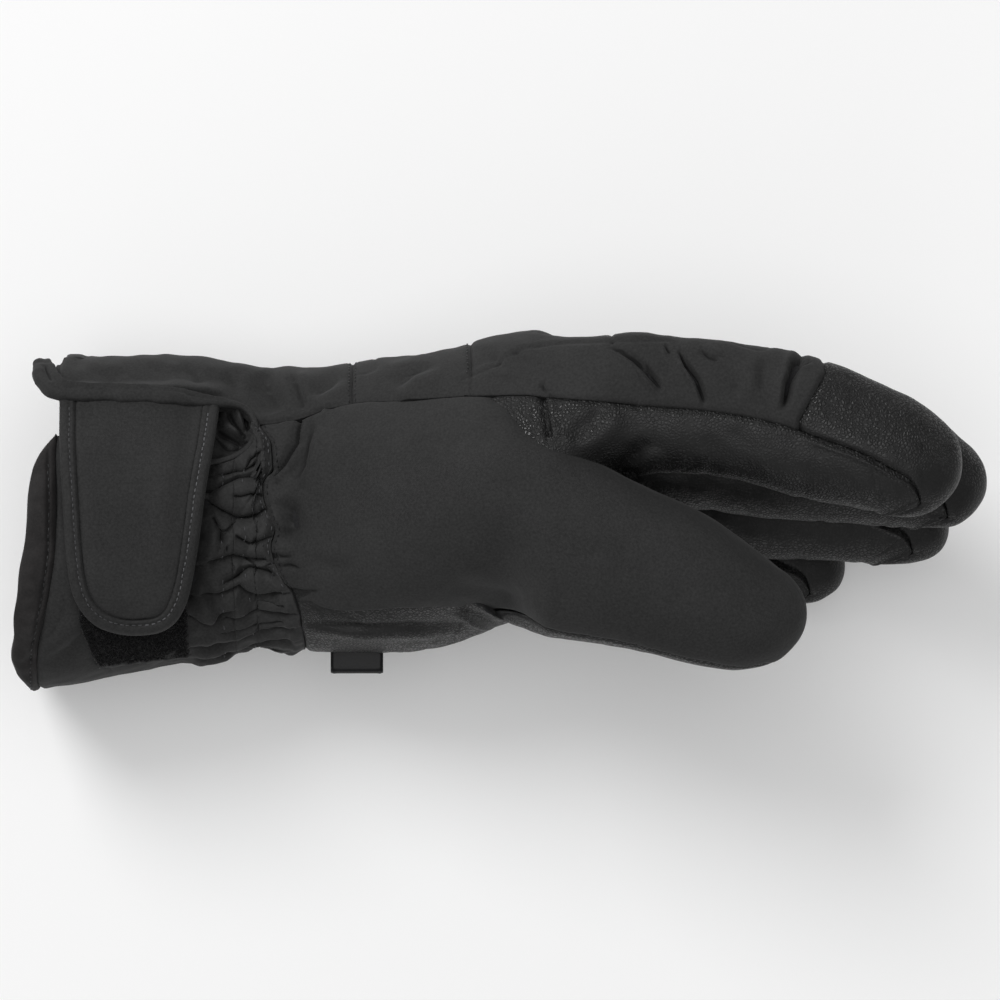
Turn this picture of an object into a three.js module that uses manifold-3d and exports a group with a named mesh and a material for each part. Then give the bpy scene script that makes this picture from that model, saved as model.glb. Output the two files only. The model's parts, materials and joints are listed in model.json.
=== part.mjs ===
// An insulated winter glove for the left hand, lying on its little-finger side with the thumb on top.
// Millimetres. +X runs from the cuff to the fingertips, +Y to the back of the hand, +Z up to the thumb.
// Every wall is a patch of one of six tubes: the hand, the thumb and four fingers. A short table
// of sections gives each tube.
import * as THREE from "three";
import { mergeVertices } from "three/addons/utils/BufferGeometryUtils.js";
import Module from "manifold-3d";

const wasm = await Module();
wasm.setup();

// Driving dimensions
const WALL = 3.4; // padded shell cloth with its insulation
const GAP = 0.35; // between two neighbouring pieces
const FLOOR = 0; // the cloth is flattened where it rests
const CROTCH_X = 42; // where the hand ends and the fingers begin
const WEB_THICKNESS = 3.4; // leather between the finger roots
const WRIST_X = -77; // where the plain cuff ends and the gathered wrist begins
const BACK_SEAM_X = -42.8; // double stitched seam across the back
const KNUCKLE_SEAM_X = -8.5; // seam below the knuckles
const ULNAR_SEAM_DEG = 275; // side seam on the little-finger side
const HEM_WIDTH = 12.5; // stitched facing round the cuff's palm half
const HEM_BULGE = 0.8;
const BINDING_WIDTH = 5; // bound edge of the back half along the slit
const BINDING_THICKNESS = 1.4;
const BINDING_LIFT = 0.8;
const BINDING_FROM = -136.3;
const BINDING_TO = -75;
const CURL_FROM = -126; // where the bound edge starts to curl up at the cuff's corner
const GUSSET_THICKNESS = 1.7;
const GUSSET_FROM = -124;
const GUSSET_TO = -73;
const PATCH_LIFT = 0.7;
const PATCH_THICKNESS = 0.9; // pile that the tongue grips
const PATCH_SIDES = [-117.5, -90.5];
const TAB_THICKNESS = 2.6;
const TAB_LIFT = 2.5; // the tongue lies on its patch
const TAB_TOP = 30.5; // where the tongue comes out from under the bound edge
const TAB_BINDING_WIDTH = 3.5;
const LOOP = { left: -49.2, right: -33.8, top: -41.2, bottom: -46.2, z: 37, layer: 0.9, space: 0.8 };
const PLEATS = 18; // folds of the gathered wrist
const PLEAT_DEPTH = 1.1;
const AROUND = 36; // facets round the hand
const THUMB_AROUND = 24;
const FINGER_AROUND = 14;
const THUMB_PANEL_FROM = -62; // where the thumb's seam is measured from

// The hand: the outline seen from the thumb side (back, palm), the height of its middle, its half width
// from thumb side to little-finger side, how far it leans, and how square its section is.
const HAND = [
  { x: -142, back: 44.4, palm: -52.8, mid: 37, half: 39, lean: 0, square: 2.4 },
  { x: -127, back: 44.9, palm: -51.0, mid: 37, half: 39, lean: 0, square: 2.4 },
  { x: -113, back: 45.4, palm: -47.9, mid: 36.5, half: 38, lean: 0, square: 2.3 },
  { x: -98, back: 45.2, palm: -45.5, mid: 36.5, half: 35.5, lean: 0, square: 2.2 },
  { x: -87, back: 44.4, palm: -43.2, mid: 35.5, half: 32.5, lean: 0, square: 2.2 },
  { x: -77, back: 42.9, palm: -40.9, mid: 35.5, half: 29.5, lean: 0, square: 2.1 },
  { x: -69, back: 41.8, palm: -38.5, mid: 36, half: 28, lean: 2, square: 2.1 },
  { x: -62, back: 41.3, palm: -39.0, mid: 36.5, half: 29, lean: 5, square: 2.1 },
  { x: -55, back: 41.8, palm: -40.8, mid: 37.5, half: 31.5, lean: 8, square: 2.2 },
  { x: -43, back: 43.1, palm: -42.0, mid: 39, half: 35.5, lean: 12, square: 2.3 },
  { x: -29, back: 45.2, palm: -41.2, mid: 41.5, half: 40, lean: 16, square: 2.4 },
  { x: -14, back: 47.6, palm: -38.6, mid: 43.5, half: 44, lean: 20, square: 2.5 },
  { x: 0, back: 51.0, palm: -34.2, mid: 45, half: 47, lean: 22, square: 2.6 },
  { x: 14, back: 52.6, palm: -28.5, mid: 46, half: 48.5, lean: 24, square: 2.7 },
  { x: 29, back: 52.2, palm: -22.6, mid: 46, half: 49.5, lean: 25, square: 2.8 },
  { x: 42, back: 50.2, palm: -20.0, mid: 46, half: 50, lean: 26, square: 3 },
];

// The thumb rises out of the hand's upper side and crosses in front of the palm.
const THUMB = [
  { x: -70, back: 29, palm: -31, mid: 43, half: 24.5, square: 3.8 },
  { x: -58, back: 30.5, palm: -31, mid: 45.5, half: 26, square: 3.6 },
  { x: -43, back: 31.5, palm: -31, mid: 52, half: 27.5, square: 3.2 },
  { x: -29, back: 31.5, palm: -31, mid: 60, half: 28, square: 2.8 },
  { x: -14, back: 31.5, palm: -31.5, mid: 67, half: 28, square: 2.4 },
  { x: 0, back: 31.5, palm: -35.2, mid: 73, half: 27, square: 2.3 },
  { x: 13, back: 29.5, palm: -36.5, mid: 77, half: 26, square: 2.3 },
  { x: 22, back: 24, palm: -37.7, mid: 80, half: 24, square: 2.3 },
  { x: 29, back: 17.4, palm: -38.6, mid: 81.5, half: 22.5, square: 2.3 },
  { x: 43.5, back: 6.7, palm: -41.2, mid: 82, half: 20.5, square: 2.3 },
  { x: 58, back: -0.3, palm: -44.1, mid: 81, half: 19, square: 2.3 },
  { x: 72.5, back: -10.2, palm: -45, mid: 79, half: 17, square: 2.3 },
  { x: 81.3, back: -17.4, palm: -41.8, mid: 78, half: 13, square: 2.2 },
  { x: 85.7, back: -21.8, palm: -38.3, mid: 77.5, half: 9, square: 2.1 },
  { x: 88.3, back: -29.2, palm: -29.8, mid: 77, half: 0.3, square: 2 },
];

// The four fingers, fanned and curled towards the palm. cap is where the leather tip begins.
const FINGERS = {
  index: {
    cap: 91,
    rows: [
      { x: 42.5, back: 51.0, palm: 11.8, mid: 81.2, half: 12.1, square: 2.3 },
      { x: 58, back: 49.6, palm: 10.2, mid: 81.2, half: 12.1, square: 2.2 },
      { x: 72.5, back: 47.3, palm: 8.1, mid: 81.2, half: 12.1, square: 2.2 },
      { x: 87, back: 44.7, palm: 5.2, mid: 81, half: 12.1, square: 2.2 },
      { x: 101.6, back: 40.0, palm: 1.5, mid: 80.8, half: 12, square: 2.2 },
      { x: 113, back: 35.1, palm: -1.5, mid: 80.5, half: 11.6, square: 2.2 },
      { x: 122, back: 30.3, palm: -0.8, mid: 80.2, half: 10.2, square: 2.2 },
      { x: 129, back: 24.7, palm: 4.0, mid: 80, half: 7.2, square: 2.1 },
      { x: 132.8, back: 14.3, palm: 13.7, mid: 80, half: 0.3, square: 2 },
    ],
  },
  middle: {
    cap: 103,
    rows: [
      { x: 42.5, back: 40.0, palm: 1.7, mid: 56.3, half: 11.8, square: 2.3 },
      { x: 58, back: 38.3, palm: 0.3, mid: 56.3, half: 11.8, square: 2.2 },
      { x: 75.5, back: 36.0, palm: -2, mid: 56.3, half: 11.8, square: 2.2 },
      { x: 93, back: 34.2, palm: -3.2, mid: 56, half: 11.8, square: 2.2 },
      { x: 110, back: 32.5, palm: -4.4, mid: 55.8, half: 11.6, square: 2.2 },
      { x: 125, back: 27.8, palm: -4.6, mid: 55.5, half: 10.6, square: 2.2 },
      { x: 133.5, back: 21.2, palm: -3.4, mid: 55.2, half: 8.8, square: 2.2 },
      { x: 138.8, back: 15.6, palm: 0.6, mid: 55, half: 5.8, square: 2.1 },
      { x: 141.4, back: 8.6, palm: 8.0, mid: 55, half: 0.3, square: 2 },
    ],
  },
  ring: {
    cap: 93,
    rows: [
      { x: 42.5, back: 26.1, palm: -8.7, mid: 33, half: 11.4, square: 2.3 },
      { x: 58, back: 23.5, palm: -11.3, mid: 33, half: 11.4, square: 2.2 },
      { x: 75.5, back: 21.2, palm: -13.3, mid: 33, half: 11.4, square: 2.2 },
      { x: 93, back: 19.4, palm: -14.2, mid: 32.8, half: 11.3, square: 2.2 },
      { x: 107.5, back: 18.0, palm: -15.1, mid: 32.5, half: 11, square: 2.2 },
      { x: 119, back: 14.5, palm: -15.4, mid: 32.2, half: 10, square: 2.2 },
      { x: 127, back: 7.5, palm: -13.3, mid: 32, half: 7.2, square: 2.1 },
      { x: 131.5, back: -4, palm: -4.6, mid: 32, half: 0.3, square: 2 },
    ],
  },
  little: {
    cap: 68,
    rows: [
      { x: 42.5, back: 12.8, palm: -18.6, mid: 10.5, half: 11.5, square: 2.3 },
      { x: 58, back: 9.6, palm: -21.8, mid: 10.5, half: 11.5, square: 2.2 },
      { x: 72.5, back: 6.7, palm: -24.7, mid: 10.4, half: 11.4, square: 2.2 },
      { x: 84, back: 3.5, palm: -27, mid: 10.2, half: 11, square: 2.2 },
      { x: 93, back: -1.2, palm: -27, mid: 10, half: 9.6, square: 2.2 },
      { x: 99, back: -8.3, palm: -23.6, mid: 9.8, half: 6.4, square: 2.1 },
      { x: 102, back: -16.2, palm: -16.8, mid: 9.7, half: 0.3, square: 2 },
    ],
  },
};

// Seams seen from the thumb side, each a line of heights y against x, or of x against y.
const BACK_EDGE = [
  { x: -142, y: 32.2 }, { x: -76, y: 30.2 }, { x: -72.2, y: 26.6 },
  { x: -69.6, y: 11 }, { x: -40, y: 14 }, { x: 3, y: 20 }, { x: 15, y: 31.2 }, { x: 46, y: 29.4 },
];
const PALM_EDGE = [
  { x: -70, y: -8 }, { x: -40, y: -8 }, { x: 3, y: 0 }, { x: 14, y: 24 }, { x: 19, y: 30 }, { x: 46, y: 28.4 },
];
const SLIT_EDGE = [{ x: -142, y: 19 }, { x: -128, y: 21.8 }, { x: -90, y: 24.5 }, { x: -76, y: 26 }];
const WRIST_SEAM = [
  { y: -42, x: -56.4 }, { y: -26, x: -58 }, { y: -17, x: -61.5 }, { y: 0, x: -66 },
  { y: 13, x: -68 }, { y: 26, x: -70.2 }, { y: 45, x: -71 },
];
const THUMB_START = [
  { y: -42, x: -56.4 }, { y: -26, x: -57.6 }, { y: -17, x: -61.1 }, { y: 0, x: -65.6 },
  { y: 11, x: -66.4 }, { y: 20, x: -61.2 }, { y: 28, x: -58 }, { y: 45, x: -56 },
];
const CUFF_END = [
  { y: -52, x: -136.5 }, { y: -42, x: -141.4 }, { y: -26, x: -139 }, { y: 3, x: -135 },
  { y: 14, x: -133.5 }, { y: 24, x: -127.5 }, { y: 45, x: -127 },
];
// The strap's tab seen from the thumb side: its two long sides against the height y.
const TAB = [
  { y: 32.5, left: -126.9, right: -81.4 }, { y: 11.5, left: -126.2, right: -84 },
  { y: -3, left: -125, right: -85.2 }, { y: -14.5, left: -123, right: -86.6 },
  { y: -23, left: -120, right: -88 }, { y: -28, left: -117.2, right: -90.4 },
  { y: -32, left: -113, right: -93.4 }, { y: -35, left: -108, right: -97.6 },
];
// A finger's side seam: the angle from the back of the finger against the share of its length.
const FINGER_SEAM = [
  { u: -0.1, angle: 93 }, { u: 0.65, angle: 94 }, { u: 0.8, angle: 103 },
  { u: 0.89, angle: 118 }, { u: 0.94, angle: 146 },
];
// The thumb's two seams, as angles, against x: the cloth lies between them on the upper side.
const THUMB_SEAM = [
  { x: -75, upper: -30, lower: 186 }, { x: -20, upper: -30, lower: 186 }, { x: 0, upper: -14, lower: 146 },
  { x: 30, upper: -8, lower: 152 }, { x: 60, upper: -8, lower: 160 }, { x: 84, upper: -10, lower: 166 },
];

const radians = THREE.MathUtils.degToRad;
const steps = (from, to, n) => Array.from({ length: n + 1 }, (_, i) => from + ((to - from) * i) / n);

// A table read as smooth curves: Hermite spans whose slopes are held flat at each local extreme.
function curve(rows, key, value) {
  const at = rows.map((r) => r[key]);
  const v = rows.map((r) => r[value]);
  const chord = at.slice(1).map((a, i) => (v[i + 1] - v[i]) / (a - at[i]));
  const slope = v.map((_, i) => {
    if (i === 0) return chord[0];
    if (i === v.length - 1) return chord[i - 1];
    const [a, b] = [chord[i - 1], chord[i]];
    return a * b <= 0 ? 0 : (2 * a * b) / (a + b);
  });
  return (x) => {
    const c = Math.min(Math.max(x, at[0]), at[at.length - 1]);
    let i = 0;
    while (i < at.length - 2 && c > at[i + 1]) i++;
    const h = at[i + 1] - at[i];
    const t = (c - at[i]) / h;
    const [t2, t3] = [t * t, t * t * t];
    return (
      (2 * t3 - 3 * t2 + 1) * v[i] + (t3 - 2 * t2 + t) * h * slope[i] +
      (3 * t2 - 2 * t3) * v[i + 1] + (t3 - t2) * h * slope[i + 1]
    );
  };
}

const POINT = 0.15; // half the size of a section that has closed to a point
const power = (v, e) => Math.sign(v) * Math.abs(v) ** e;

// A tube read from its table: point(x, angle, inset) is on its surface, or inset below it.
// Angles run from the back (0) over the thumb side (90) to the palm (180).
function tube(rows) {
  const [back, palm, mid, half, lean, square] = ["back", "palm", "mid", "half", "lean", "square"].map((name) =>
    rows[0][name] === undefined ? () => 0 : curve(rows, "x", name),
  );
  return (x, degrees, inset = 0) => {
    const n = square(x);
    const tilt = radians(lean(x));
    const reach = (back(x) - palm(x)) / 2;
    const width = half(x);
    const dual = n / (n - 1);
    // the thickness whose leaning section reaches exactly from back to palm
    const upright = Math.max(reach ** dual - (width * Math.sin(tilt)) ** dual, 0.001) ** (1 / dual);
    const thick = upright / Math.cos(tilt);
    const p = power(Math.cos(radians(degrees)), 2 / n) * Math.max(thick - inset, POINT);
    const q = power(Math.sin(radians(degrees)), 2 / n) * Math.max(width - inset, POINT);
    const y = (back(x) + palm(x)) / 2 + p * Math.cos(tilt) + q * Math.sin(tilt);
    const z = mid(x) - p * Math.sin(tilt) + q * Math.cos(tilt);
    return new THREE.Vector3(x, y, Math.max(z, FLOOR + Math.max(inset, 0)));
  };
}

const hand = tube(HAND);
const thumb = tube(THUMB);

// The angle at which the hand's thumb side has the height y.
function angleAt(x, y) {
  let low = steps(0, 60, 30).reduce((a, b) => (hand(x, b).y > hand(x, a).y ? b : a), 0);
  let high = 180;
  for (let i = 0; i < 24; i++) {
    const m = (low + high) / 2;
    if (hand(x, m).y > y) low = m;
    else high = m;
  }
  return low;
}

// One closed geometry from an outer and an inner grid of points, [row][column].
function shell(outer, inner) {
  const [n, m] = [outer.length, outer[0].length];
  const points = [...outer, ...inner].flat();
  const at = (side, i, j) => side * n * m + i * m + j;
  const faces = [];
  const quad = (a, b, c, d) => faces.push(a, b, c, a, c, d);
  for (let i = 0; i < n - 1; i++)
    for (let j = 0; j < m - 1; j++) {
      quad(at(0, i, j), at(0, i, j + 1), at(0, i + 1, j + 1), at(0, i + 1, j));
      quad(at(1, i, j), at(1, i + 1, j), at(1, i + 1, j + 1), at(1, i, j + 1));
    }
  for (let j = 0; j < m - 1; j++) {
    quad(at(0, 0, j), at(1, 0, j), at(1, 0, j + 1), at(0, 0, j + 1));
    quad(at(0, n - 1, j), at(0, n - 1, j + 1), at(1, n - 1, j + 1), at(1, n - 1, j));
  }
  for (let i = 0; i < n - 1; i++) {
    quad(at(0, i, 0), at(0, i + 1, 0), at(1, i + 1, 0), at(1, i, 0));
    quad(at(0, i, m - 1), at(1, i, m - 1), at(1, i + 1, m - 1), at(0, i + 1, m - 1));
  }
  return geometry(points, faces);
}

// A closed rod from a grid of rings, with a fan over each end.
function rod(rings) {
  const [n, m] = [rings.length, rings[0].length];
  const middle = (ring) => ring.reduce((a, b) => a.clone().add(b)).divideScalar(m);
  const points = [...rings.flat(), middle(rings[0]), middle(rings[n - 1])];
  const faces = [];
  for (let j = 0; j < m; j++) {
    const k = (j + 1) % m;
    for (let i = 0; i < n - 1; i++) {
      const [a, b, c, d] = [i * m + j, i * m + k, (i + 1) * m + k, (i + 1) * m + j];
      faces.push(a, b, c, a, c, d);
    }
    faces.push(n * m, k, j, n * m + 1, (n - 1) * m + j, (n - 1) * m + k);
  }
  return geometry(points, faces);
}

// Points and triangles as a geometry whose faces point out, whichever way the grid ran.
function geometry(points, faces) {
  let volume = 0;
  for (let i = 0; i < faces.length; i += 3) {
    const [a, b, c] = [points[faces[i]], points[faces[i + 1]], points[faces[i + 2]]];
    volume += a.dot(b.clone().cross(c));
  }
  const g = new THREE.BufferGeometry().setFromPoints(points);
  g.setIndex(volume > 0 ? faces : [...faces].reverse());
  return g;
}

function solid(g) {
  g.deleteAttribute("normal");
  g.deleteAttribute("uv");
  const merged = mergeVertices(g, 1e-4);
  const vertProperties = merged.attributes.position.array;
  const triVerts = new Uint32Array(merged.index.array);
  return new wasm.Manifold(new wasm.Mesh({ numProp: 3, vertProperties, triVerts }));
}

// A cut solid's largest body as a geometry, without the slivers that the cut leaves behind.
function cutPiece(cut) {
  const m = cut.decompose().reduce((a, b) => (b.volume() > a.volume() ? b : a)).getMesh();
  const g = new THREE.BufferGeometry();
  g.setAttribute("position", new THREE.BufferAttribute(m.vertProperties, 3));
  g.setIndex(new THREE.BufferAttribute(m.triVerts, 1));
  return g;
}

// A wall on the hand: x runs between from(angle) and to(angle), the angle between start(x) and end(x).
// It reaches from outside(s, t) above the hand's surface to wall below it.
function panel({ from, to, start, end, along, across, outside = () => 0, wall = WALL }) {
  const grid = (inset) =>
    along.map((s) =>
      across.map((t) => {
        const guess = from(start(0)) + (to(start(0)) - from(start(0))) * s;
        const angle = start(guess) + (end(guess) - start(guess)) * t;
        const x = from(angle) + (to(angle) - from(angle)) * s;
        return hand(x, angle, inset(s, t));
      }),
    );
  return shell(grid((s, t) => -outside(s, t)), grid(() => wall));
}

const constant = (v) => () => v;
// A seam given as x against y, read round the hand's section near it.
const seamRound = (rows, near) => {
  const line = curve(rows, "y", "x");
  return (angle) => line(hand(near, angle).y);
};
const backEdge = curve(BACK_EDGE, "x", "y");
const palmEdge = curve(PALM_EDGE, "x", "y");
const slitEdge = curve(SLIT_EDGE, "x", "y");
const wristSeam = seamRound(WRIST_SEAM, -68);
const cuffEnd = seamRound(CUFF_END, -130);
const backStart = constant(ULNAR_SEAM_DEG - 360); // the side seam, counted from the back
const palmEnd = constant(ULNAR_SEAM_DEG - 1);
const backAngle = (x) => angleAt(x, backEdge(x));
const slitAngle = (x) => angleAt(x, slitEdge(x));

const CLOTH = { color: 0x2b2c2c, roughness: 0.85, metalness: 0 };
const LEATHER = { color: 0x1b1b1b, roughness: 0.5, metalness: 0 };
const PILE = { color: 0x131313, roughness: 1, metalness: 0 };
const WEBBING = { color: 0x101010, roughness: 0.35, metalness: 0 };

const glove = new THREE.Group();
function add(name, g, finish) {
  const piece = new THREE.Mesh(g, new THREE.MeshStandardMaterial(finish));
  piece.name = name;
  glove.add(piece);
}

// Cavities and cutters
const ringAngles = (count) => steps(0, 360, count).slice(0, -1);
const handRings = (xs, inset) => xs.map((x) => ringAngles(AROUND).map((a) => hand(x, a, inset)));
const HAND_XS = HAND.map((row) => row.x).filter((x) => x > -140 && x < CROTCH_X);
const handCavity = solid(rod(handRings([-150, ...HAND_XS, CROTCH_X - WEB_THICKNESS], WALL)));

// The thumb tube begins on a slanted seam and ends in a round tip.
const THUMB_SHARES = [0, 0.1, 0.22, 0.34, 0.45, 0.54, 0.61, 0.69, 0.79, 0.89, 0.95, 0.985, 1];
const thumbStart = curve(THUMB_START, "y", "x");
function thumbRings(inset, reach) {
  const tip = THUMB[THUMB.length - 1].x - Math.max(inset, 0);
  return THUMB_SHARES.map((s) =>
    ringAngles(THUMB_AROUND).map((a) => {
      const start = thumbStart(thumb(THUMB_PANEL_FROM, a).y) - reach;
      return thumb(start + (tip - start) * s, a, inset);
    }),
  );
}
const thumbOuter = solid(rod(thumbRings(0, 0)));
const thumbKeepOut = solid(rod(thumbRings(-GAP, GAP)));
const thumbInner = solid(rod(thumbRings(WALL, 1)));

function makeCuff() {
  const back = panel({
    from: cuffEnd, to: constant(BACK_SEAM_X - GAP), start: backStart, end: backAngle,
    along: [0, 0.16, 0.34, 0.48, 0.6, 0.655, 0.69, 0.73, 0.8, 0.9, 1], across: steps(0, 1, 15),
  });
  add("cuff_back", cutPiece(solid(back).subtract(thumbKeepOut)), CLOTH);

  const palm = panel({
    from: (angle) => cuffEnd(angle) + HEM_WIDTH + GAP, to: constant(WRIST_X - GAP),
    start: slitAngle, end: palmEnd, along: steps(0, 1, 4), across: steps(0, 1, 20),
  });
  add("cuff_palm", palm, CLOTH);

  // the facing bulges a little, like a turned and stuffed hem
  const hem = panel({
    from: cuffEnd, to: (angle) => cuffEnd(angle) + HEM_WIDTH,
    start: slitAngle, end: palmEnd, along: steps(0, 1, 3), across: steps(0, 1, 20),
    outside: (s, t) => HEM_BULGE * Math.sin(Math.PI * s) * Math.sin(Math.PI * Math.min(t, 0.5)),
  });
  add("cuff_hem", hem, CLOTH);
}

// The shirred wrist between the cuff and the palm: pleats, flat where the glove rests
function makeWrist() {
  const top = 26;
  const flatFrom = 0.86;
  const pleat = (t) => (t < flatFrom ? PLEAT_DEPTH * Math.cos(2 * Math.PI * PLEATS * t) : 0);
  const wrist = panel({
    from: constant(WRIST_X), to: (angle) => wristSeam(angle) - GAP,
    start: (x) => angleAt(Math.min(x, -71), top), end: palmEnd,
    along: [0, 0.35, 0.7, 1], across: steps(0, 1, PLEATS * 2),
    outside: (s, t) => pleat(t) * Math.sin(Math.PI * s),
  });
  add("wrist_gather", cutPiece(solid(wrist).subtract(thumbKeepOut)), CLOTH);
}

// The slit on the thumb side: a thick bound edge with a curled corner, and folded cloth inside
function makeSlit() {
  const curl = (x) => 0.4 * Math.max(0, CURL_FROM - x);
  const binding = panel({
    from: constant(BINDING_FROM), to: constant(BINDING_TO), wall: -BINDING_LIFT,
    start: (x) => angleAt(x, backEdge(x) + BINDING_WIDTH + curl(x)),
    end: (x) => angleAt(x, backEdge(x) - 0.6 + curl(x) * 0.3),
    along: [0, 0.07, 0.15, 0.45, 0.75, 1], across: steps(0, 1, 3),
    outside: (s, t) => BINDING_LIFT + BINDING_THICKNESS * (1 + 0.5 * Math.sin(Math.PI * t)),
  });
  add("slit_binding", binding, CLOTH);

  const under = WALL + 2 * GAP;
  const gusset = panel({
    from: constant(GUSSET_FROM), to: constant(GUSSET_TO),
    start: (x) => angleAt(x, backEdge(x) + 3), end: (x) => angleAt(x, slitEdge(x) - 4),
    along: steps(0, 1, 5), across: steps(0, 1, 4),
    outside: constant(-under), wall: under + GUSSET_THICKNESS,
  });
  add("slit_gusset", gusset, CLOTH);
}

// The tongue's outline drawn in by margin, lifted off the hand
const tabLeft = curve([...TAB].reverse(), "y", "left");
const tabRight = curve([...TAB].reverse(), "y", "right");
function tabGrid(lift, margin) {
  const foot = TAB[TAB.length - 1].y + margin;
  const heights = [TAB[0].y, 20, 9, -2, -12, -20, -26, -30.5].filter((y) => y > foot);
  return [...heights, foot].map((y) => {
    // the round end draws in from below too
    const edge = y < -20 ? y - margin * 0.6 : y;
    const sides = steps(tabLeft(edge) + margin, tabRight(edge) - margin, 6);
    return sides.map((x) => hand(x, angleAt(x, y), -lift).setX(x));
  });
}

// The hook-and-loop tongue: a cloth middle, a bound edge round it, and the pile that it grips
function makeStrap() {
  const top = TAB_LIFT + TAB_THICKNESS;
  const inner = TAB_BINDING_WIDTH + GAP;
  const above = new THREE.BoxGeometry(80, 10, 80).translate(-104, TAB_TOP + 5, 80);
  const middle = solid(shell(tabGrid(top, inner), tabGrid(TAB_LIFT, inner)));
  add("strap_tab", cutPiece(middle.subtract(solid(above))), CLOTH);
  const whole = solid(shell(tabGrid(top + GAP, 0), tabGrid(TAB_LIFT, 0)));
  const window = solid(shell(tabGrid(top + 10, TAB_BINDING_WIDTH), tabGrid(TAB_LIFT - 2, TAB_BINDING_WIDTH)));
  add("strap_binding", cutPiece(whole.subtract(window).subtract(solid(above))), CLOTH);

  const patch = (lift) =>
    [-16, -22, -28, -34, -39.5, -43.5].map((y) =>
      steps(...PATCH_SIDES, 6).map((x) => hand(x, angleAt(x, y), -lift)),
    );
  add("loop_patch", shell(patch(PATCH_LIFT + PATCH_THICKNESS), patch(PATCH_LIFT)), PILE);
}

function makeBack() {
  const across = steps(0, 1, 15);
  const back = panel({
    from: constant(BACK_SEAM_X), to: constant(KNUCKLE_SEAM_X - GAP),
    start: backStart, end: backAngle, along: steps(0, 1, 3), across,
  });
  add("back_panel", cutPiece(solid(back).subtract(thumbKeepOut)), CLOTH);
  const knuckles = panel({
    from: constant(KNUCKLE_SEAM_X), to: constant(CROTCH_X),
    start: backStart, end: backAngle, along: steps(0, 1, 6), across,
  });
  add("knuckle_panel", cutPiece(solid(knuckles).subtract(thumbKeepOut)), CLOTH);
}

// The leather palm, with the web between the finger roots and a way through it into each finger
function makePalm() {
  const palm = panel({
    from: wristSeam, to: constant(CROTCH_X), start: (x) => angleAt(x, palmEdge(x)), end: palmEnd,
    along: [0, 0.12, 0.26, 0.4, 0.54, 0.66, 0.72, 0.8, 0.9, 1], across: steps(0, 1, 18),
  });
  // the web merges into the palm's wall and stays clear of the back's
  const webEdge = angleAt(CROTCH_X, palmEdge(CROTCH_X)) + 360 / AROUND;
  const inset = (a) => (a > webEdge && a < ULNAR_SEAM_DEG - 6 ? WALL / 2 : WALL + 0.9);
  const web = [CROTCH_X - WEB_THICKNESS, CROTCH_X].map((x) =>
    ringAngles(AROUND).map((a) => hand(x, a, inset(a))),
  );
  let leather = solid(palm).add(solid(rod(web))).subtract(thumbKeepOut);
  for (const { rows } of Object.values(FINGERS))
    leather = leather.subtract(solid(rod(fingerRings(rows, WALL, 8))));
  add("palm_panel", cutPiece(leather), LEATHER);
}

// Rings along a finger, from its root, or from reach before it, to its tip
const FINGER_SHARES = [0, 0.22, 0.44, 0.64, 0.78, 0.88, 0.95, 0.985, 1];
function fingerRings(rows, inset, reach = 0) {
  const surface = tube(rows);
  const root = rows[0].x;
  const length = rows[rows.length - 1].x - Math.max(inset, 0) - root;
  const rings = FINGER_SHARES.map((s) =>
    ringAngles(FINGER_AROUND).map((a) => surface(root + length * s, a, inset)),
  );
  if (reach > 0) rings.unshift(rings[0].map((p) => p.clone().setX(root - reach)));
  return rings;
}

// Everything within the given range of angles of a tube, from inside it to beyond its surface.
// pairs(x) gives the two angles.
function wedge(surface, xs, pair, columns) {
  const grid = (grow) =>
    xs.map((x) => {
      const middle = surface(x, 0).add(surface(x, 180)).multiplyScalar(0.5);
      return steps(...pair(x), columns).map((angle) => middle.clone().lerp(surface(x, angle), grow));
    });
  return solid(shell(grid(1.5), grid(0.2)));
}

function makeFinger(name, { rows, cap }) {
  const root = rows[0].x;
  const length = rows[rows.length - 1].x - root;
  const walls = solid(rod(fingerRings(rows, 0))).subtract(solid(rod(fingerRings(rows, WALL, 4))));
  const seam = curve(FINGER_SEAM, "u", "angle");
  const palmSide = (margin) => {
    const xs = [0, 0.44, 0.64, 0.78, 0.88, 0.94].map((u) => root - 1 + length * u);
    xs[5] += margin;
    const pair = (x) => {
      const angle = seam((x - root + 1) / length) - margin * 3;
      return [angle, 360 - angle];
    };
    return wedge(tube(rows), xs, pair, 6);
  };
  const beyond = (x) => solid(new THREE.BoxGeometry(100, 120, 120).translate(x + 50, 0, 50));
  const upper = walls.subtract(palmSide(GAP));
  add(name + "_front", cutPiece(walls.intersect(palmSide(0))), LEATHER);
  add(name + "_back", cutPiece(upper.subtract(beyond(cap - GAP))), CLOTH);
  add(name + "_cap", cutPiece(upper.intersect(beyond(cap))), LEATHER);
}

// The thumb: cloth on the side away from the palm, leather on the side that faces it
function makeThumb() {
  const walls = thumbOuter.subtract(thumbInner).subtract(handCavity);
  const upper = curve(THUMB_SEAM, "x", "upper");
  const lower = curve(THUMB_SEAM, "x", "lower");
  const xs = [-75, -60, -40, -20, 0, 20, 40, 60, 72, 80, 85];
  const palmSide = (margin) =>
    wedge(thumb, xs, (x) => [lower(x) - margin, upper(x) + 360 + margin], 12);
  add("thumb_panel", cutPiece(walls.subtract(palmSide(1))), CLOTH);
  add("thumb_leather", cutPiece(walls.intersect(palmSide(0))), LEATHER);
}

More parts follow.
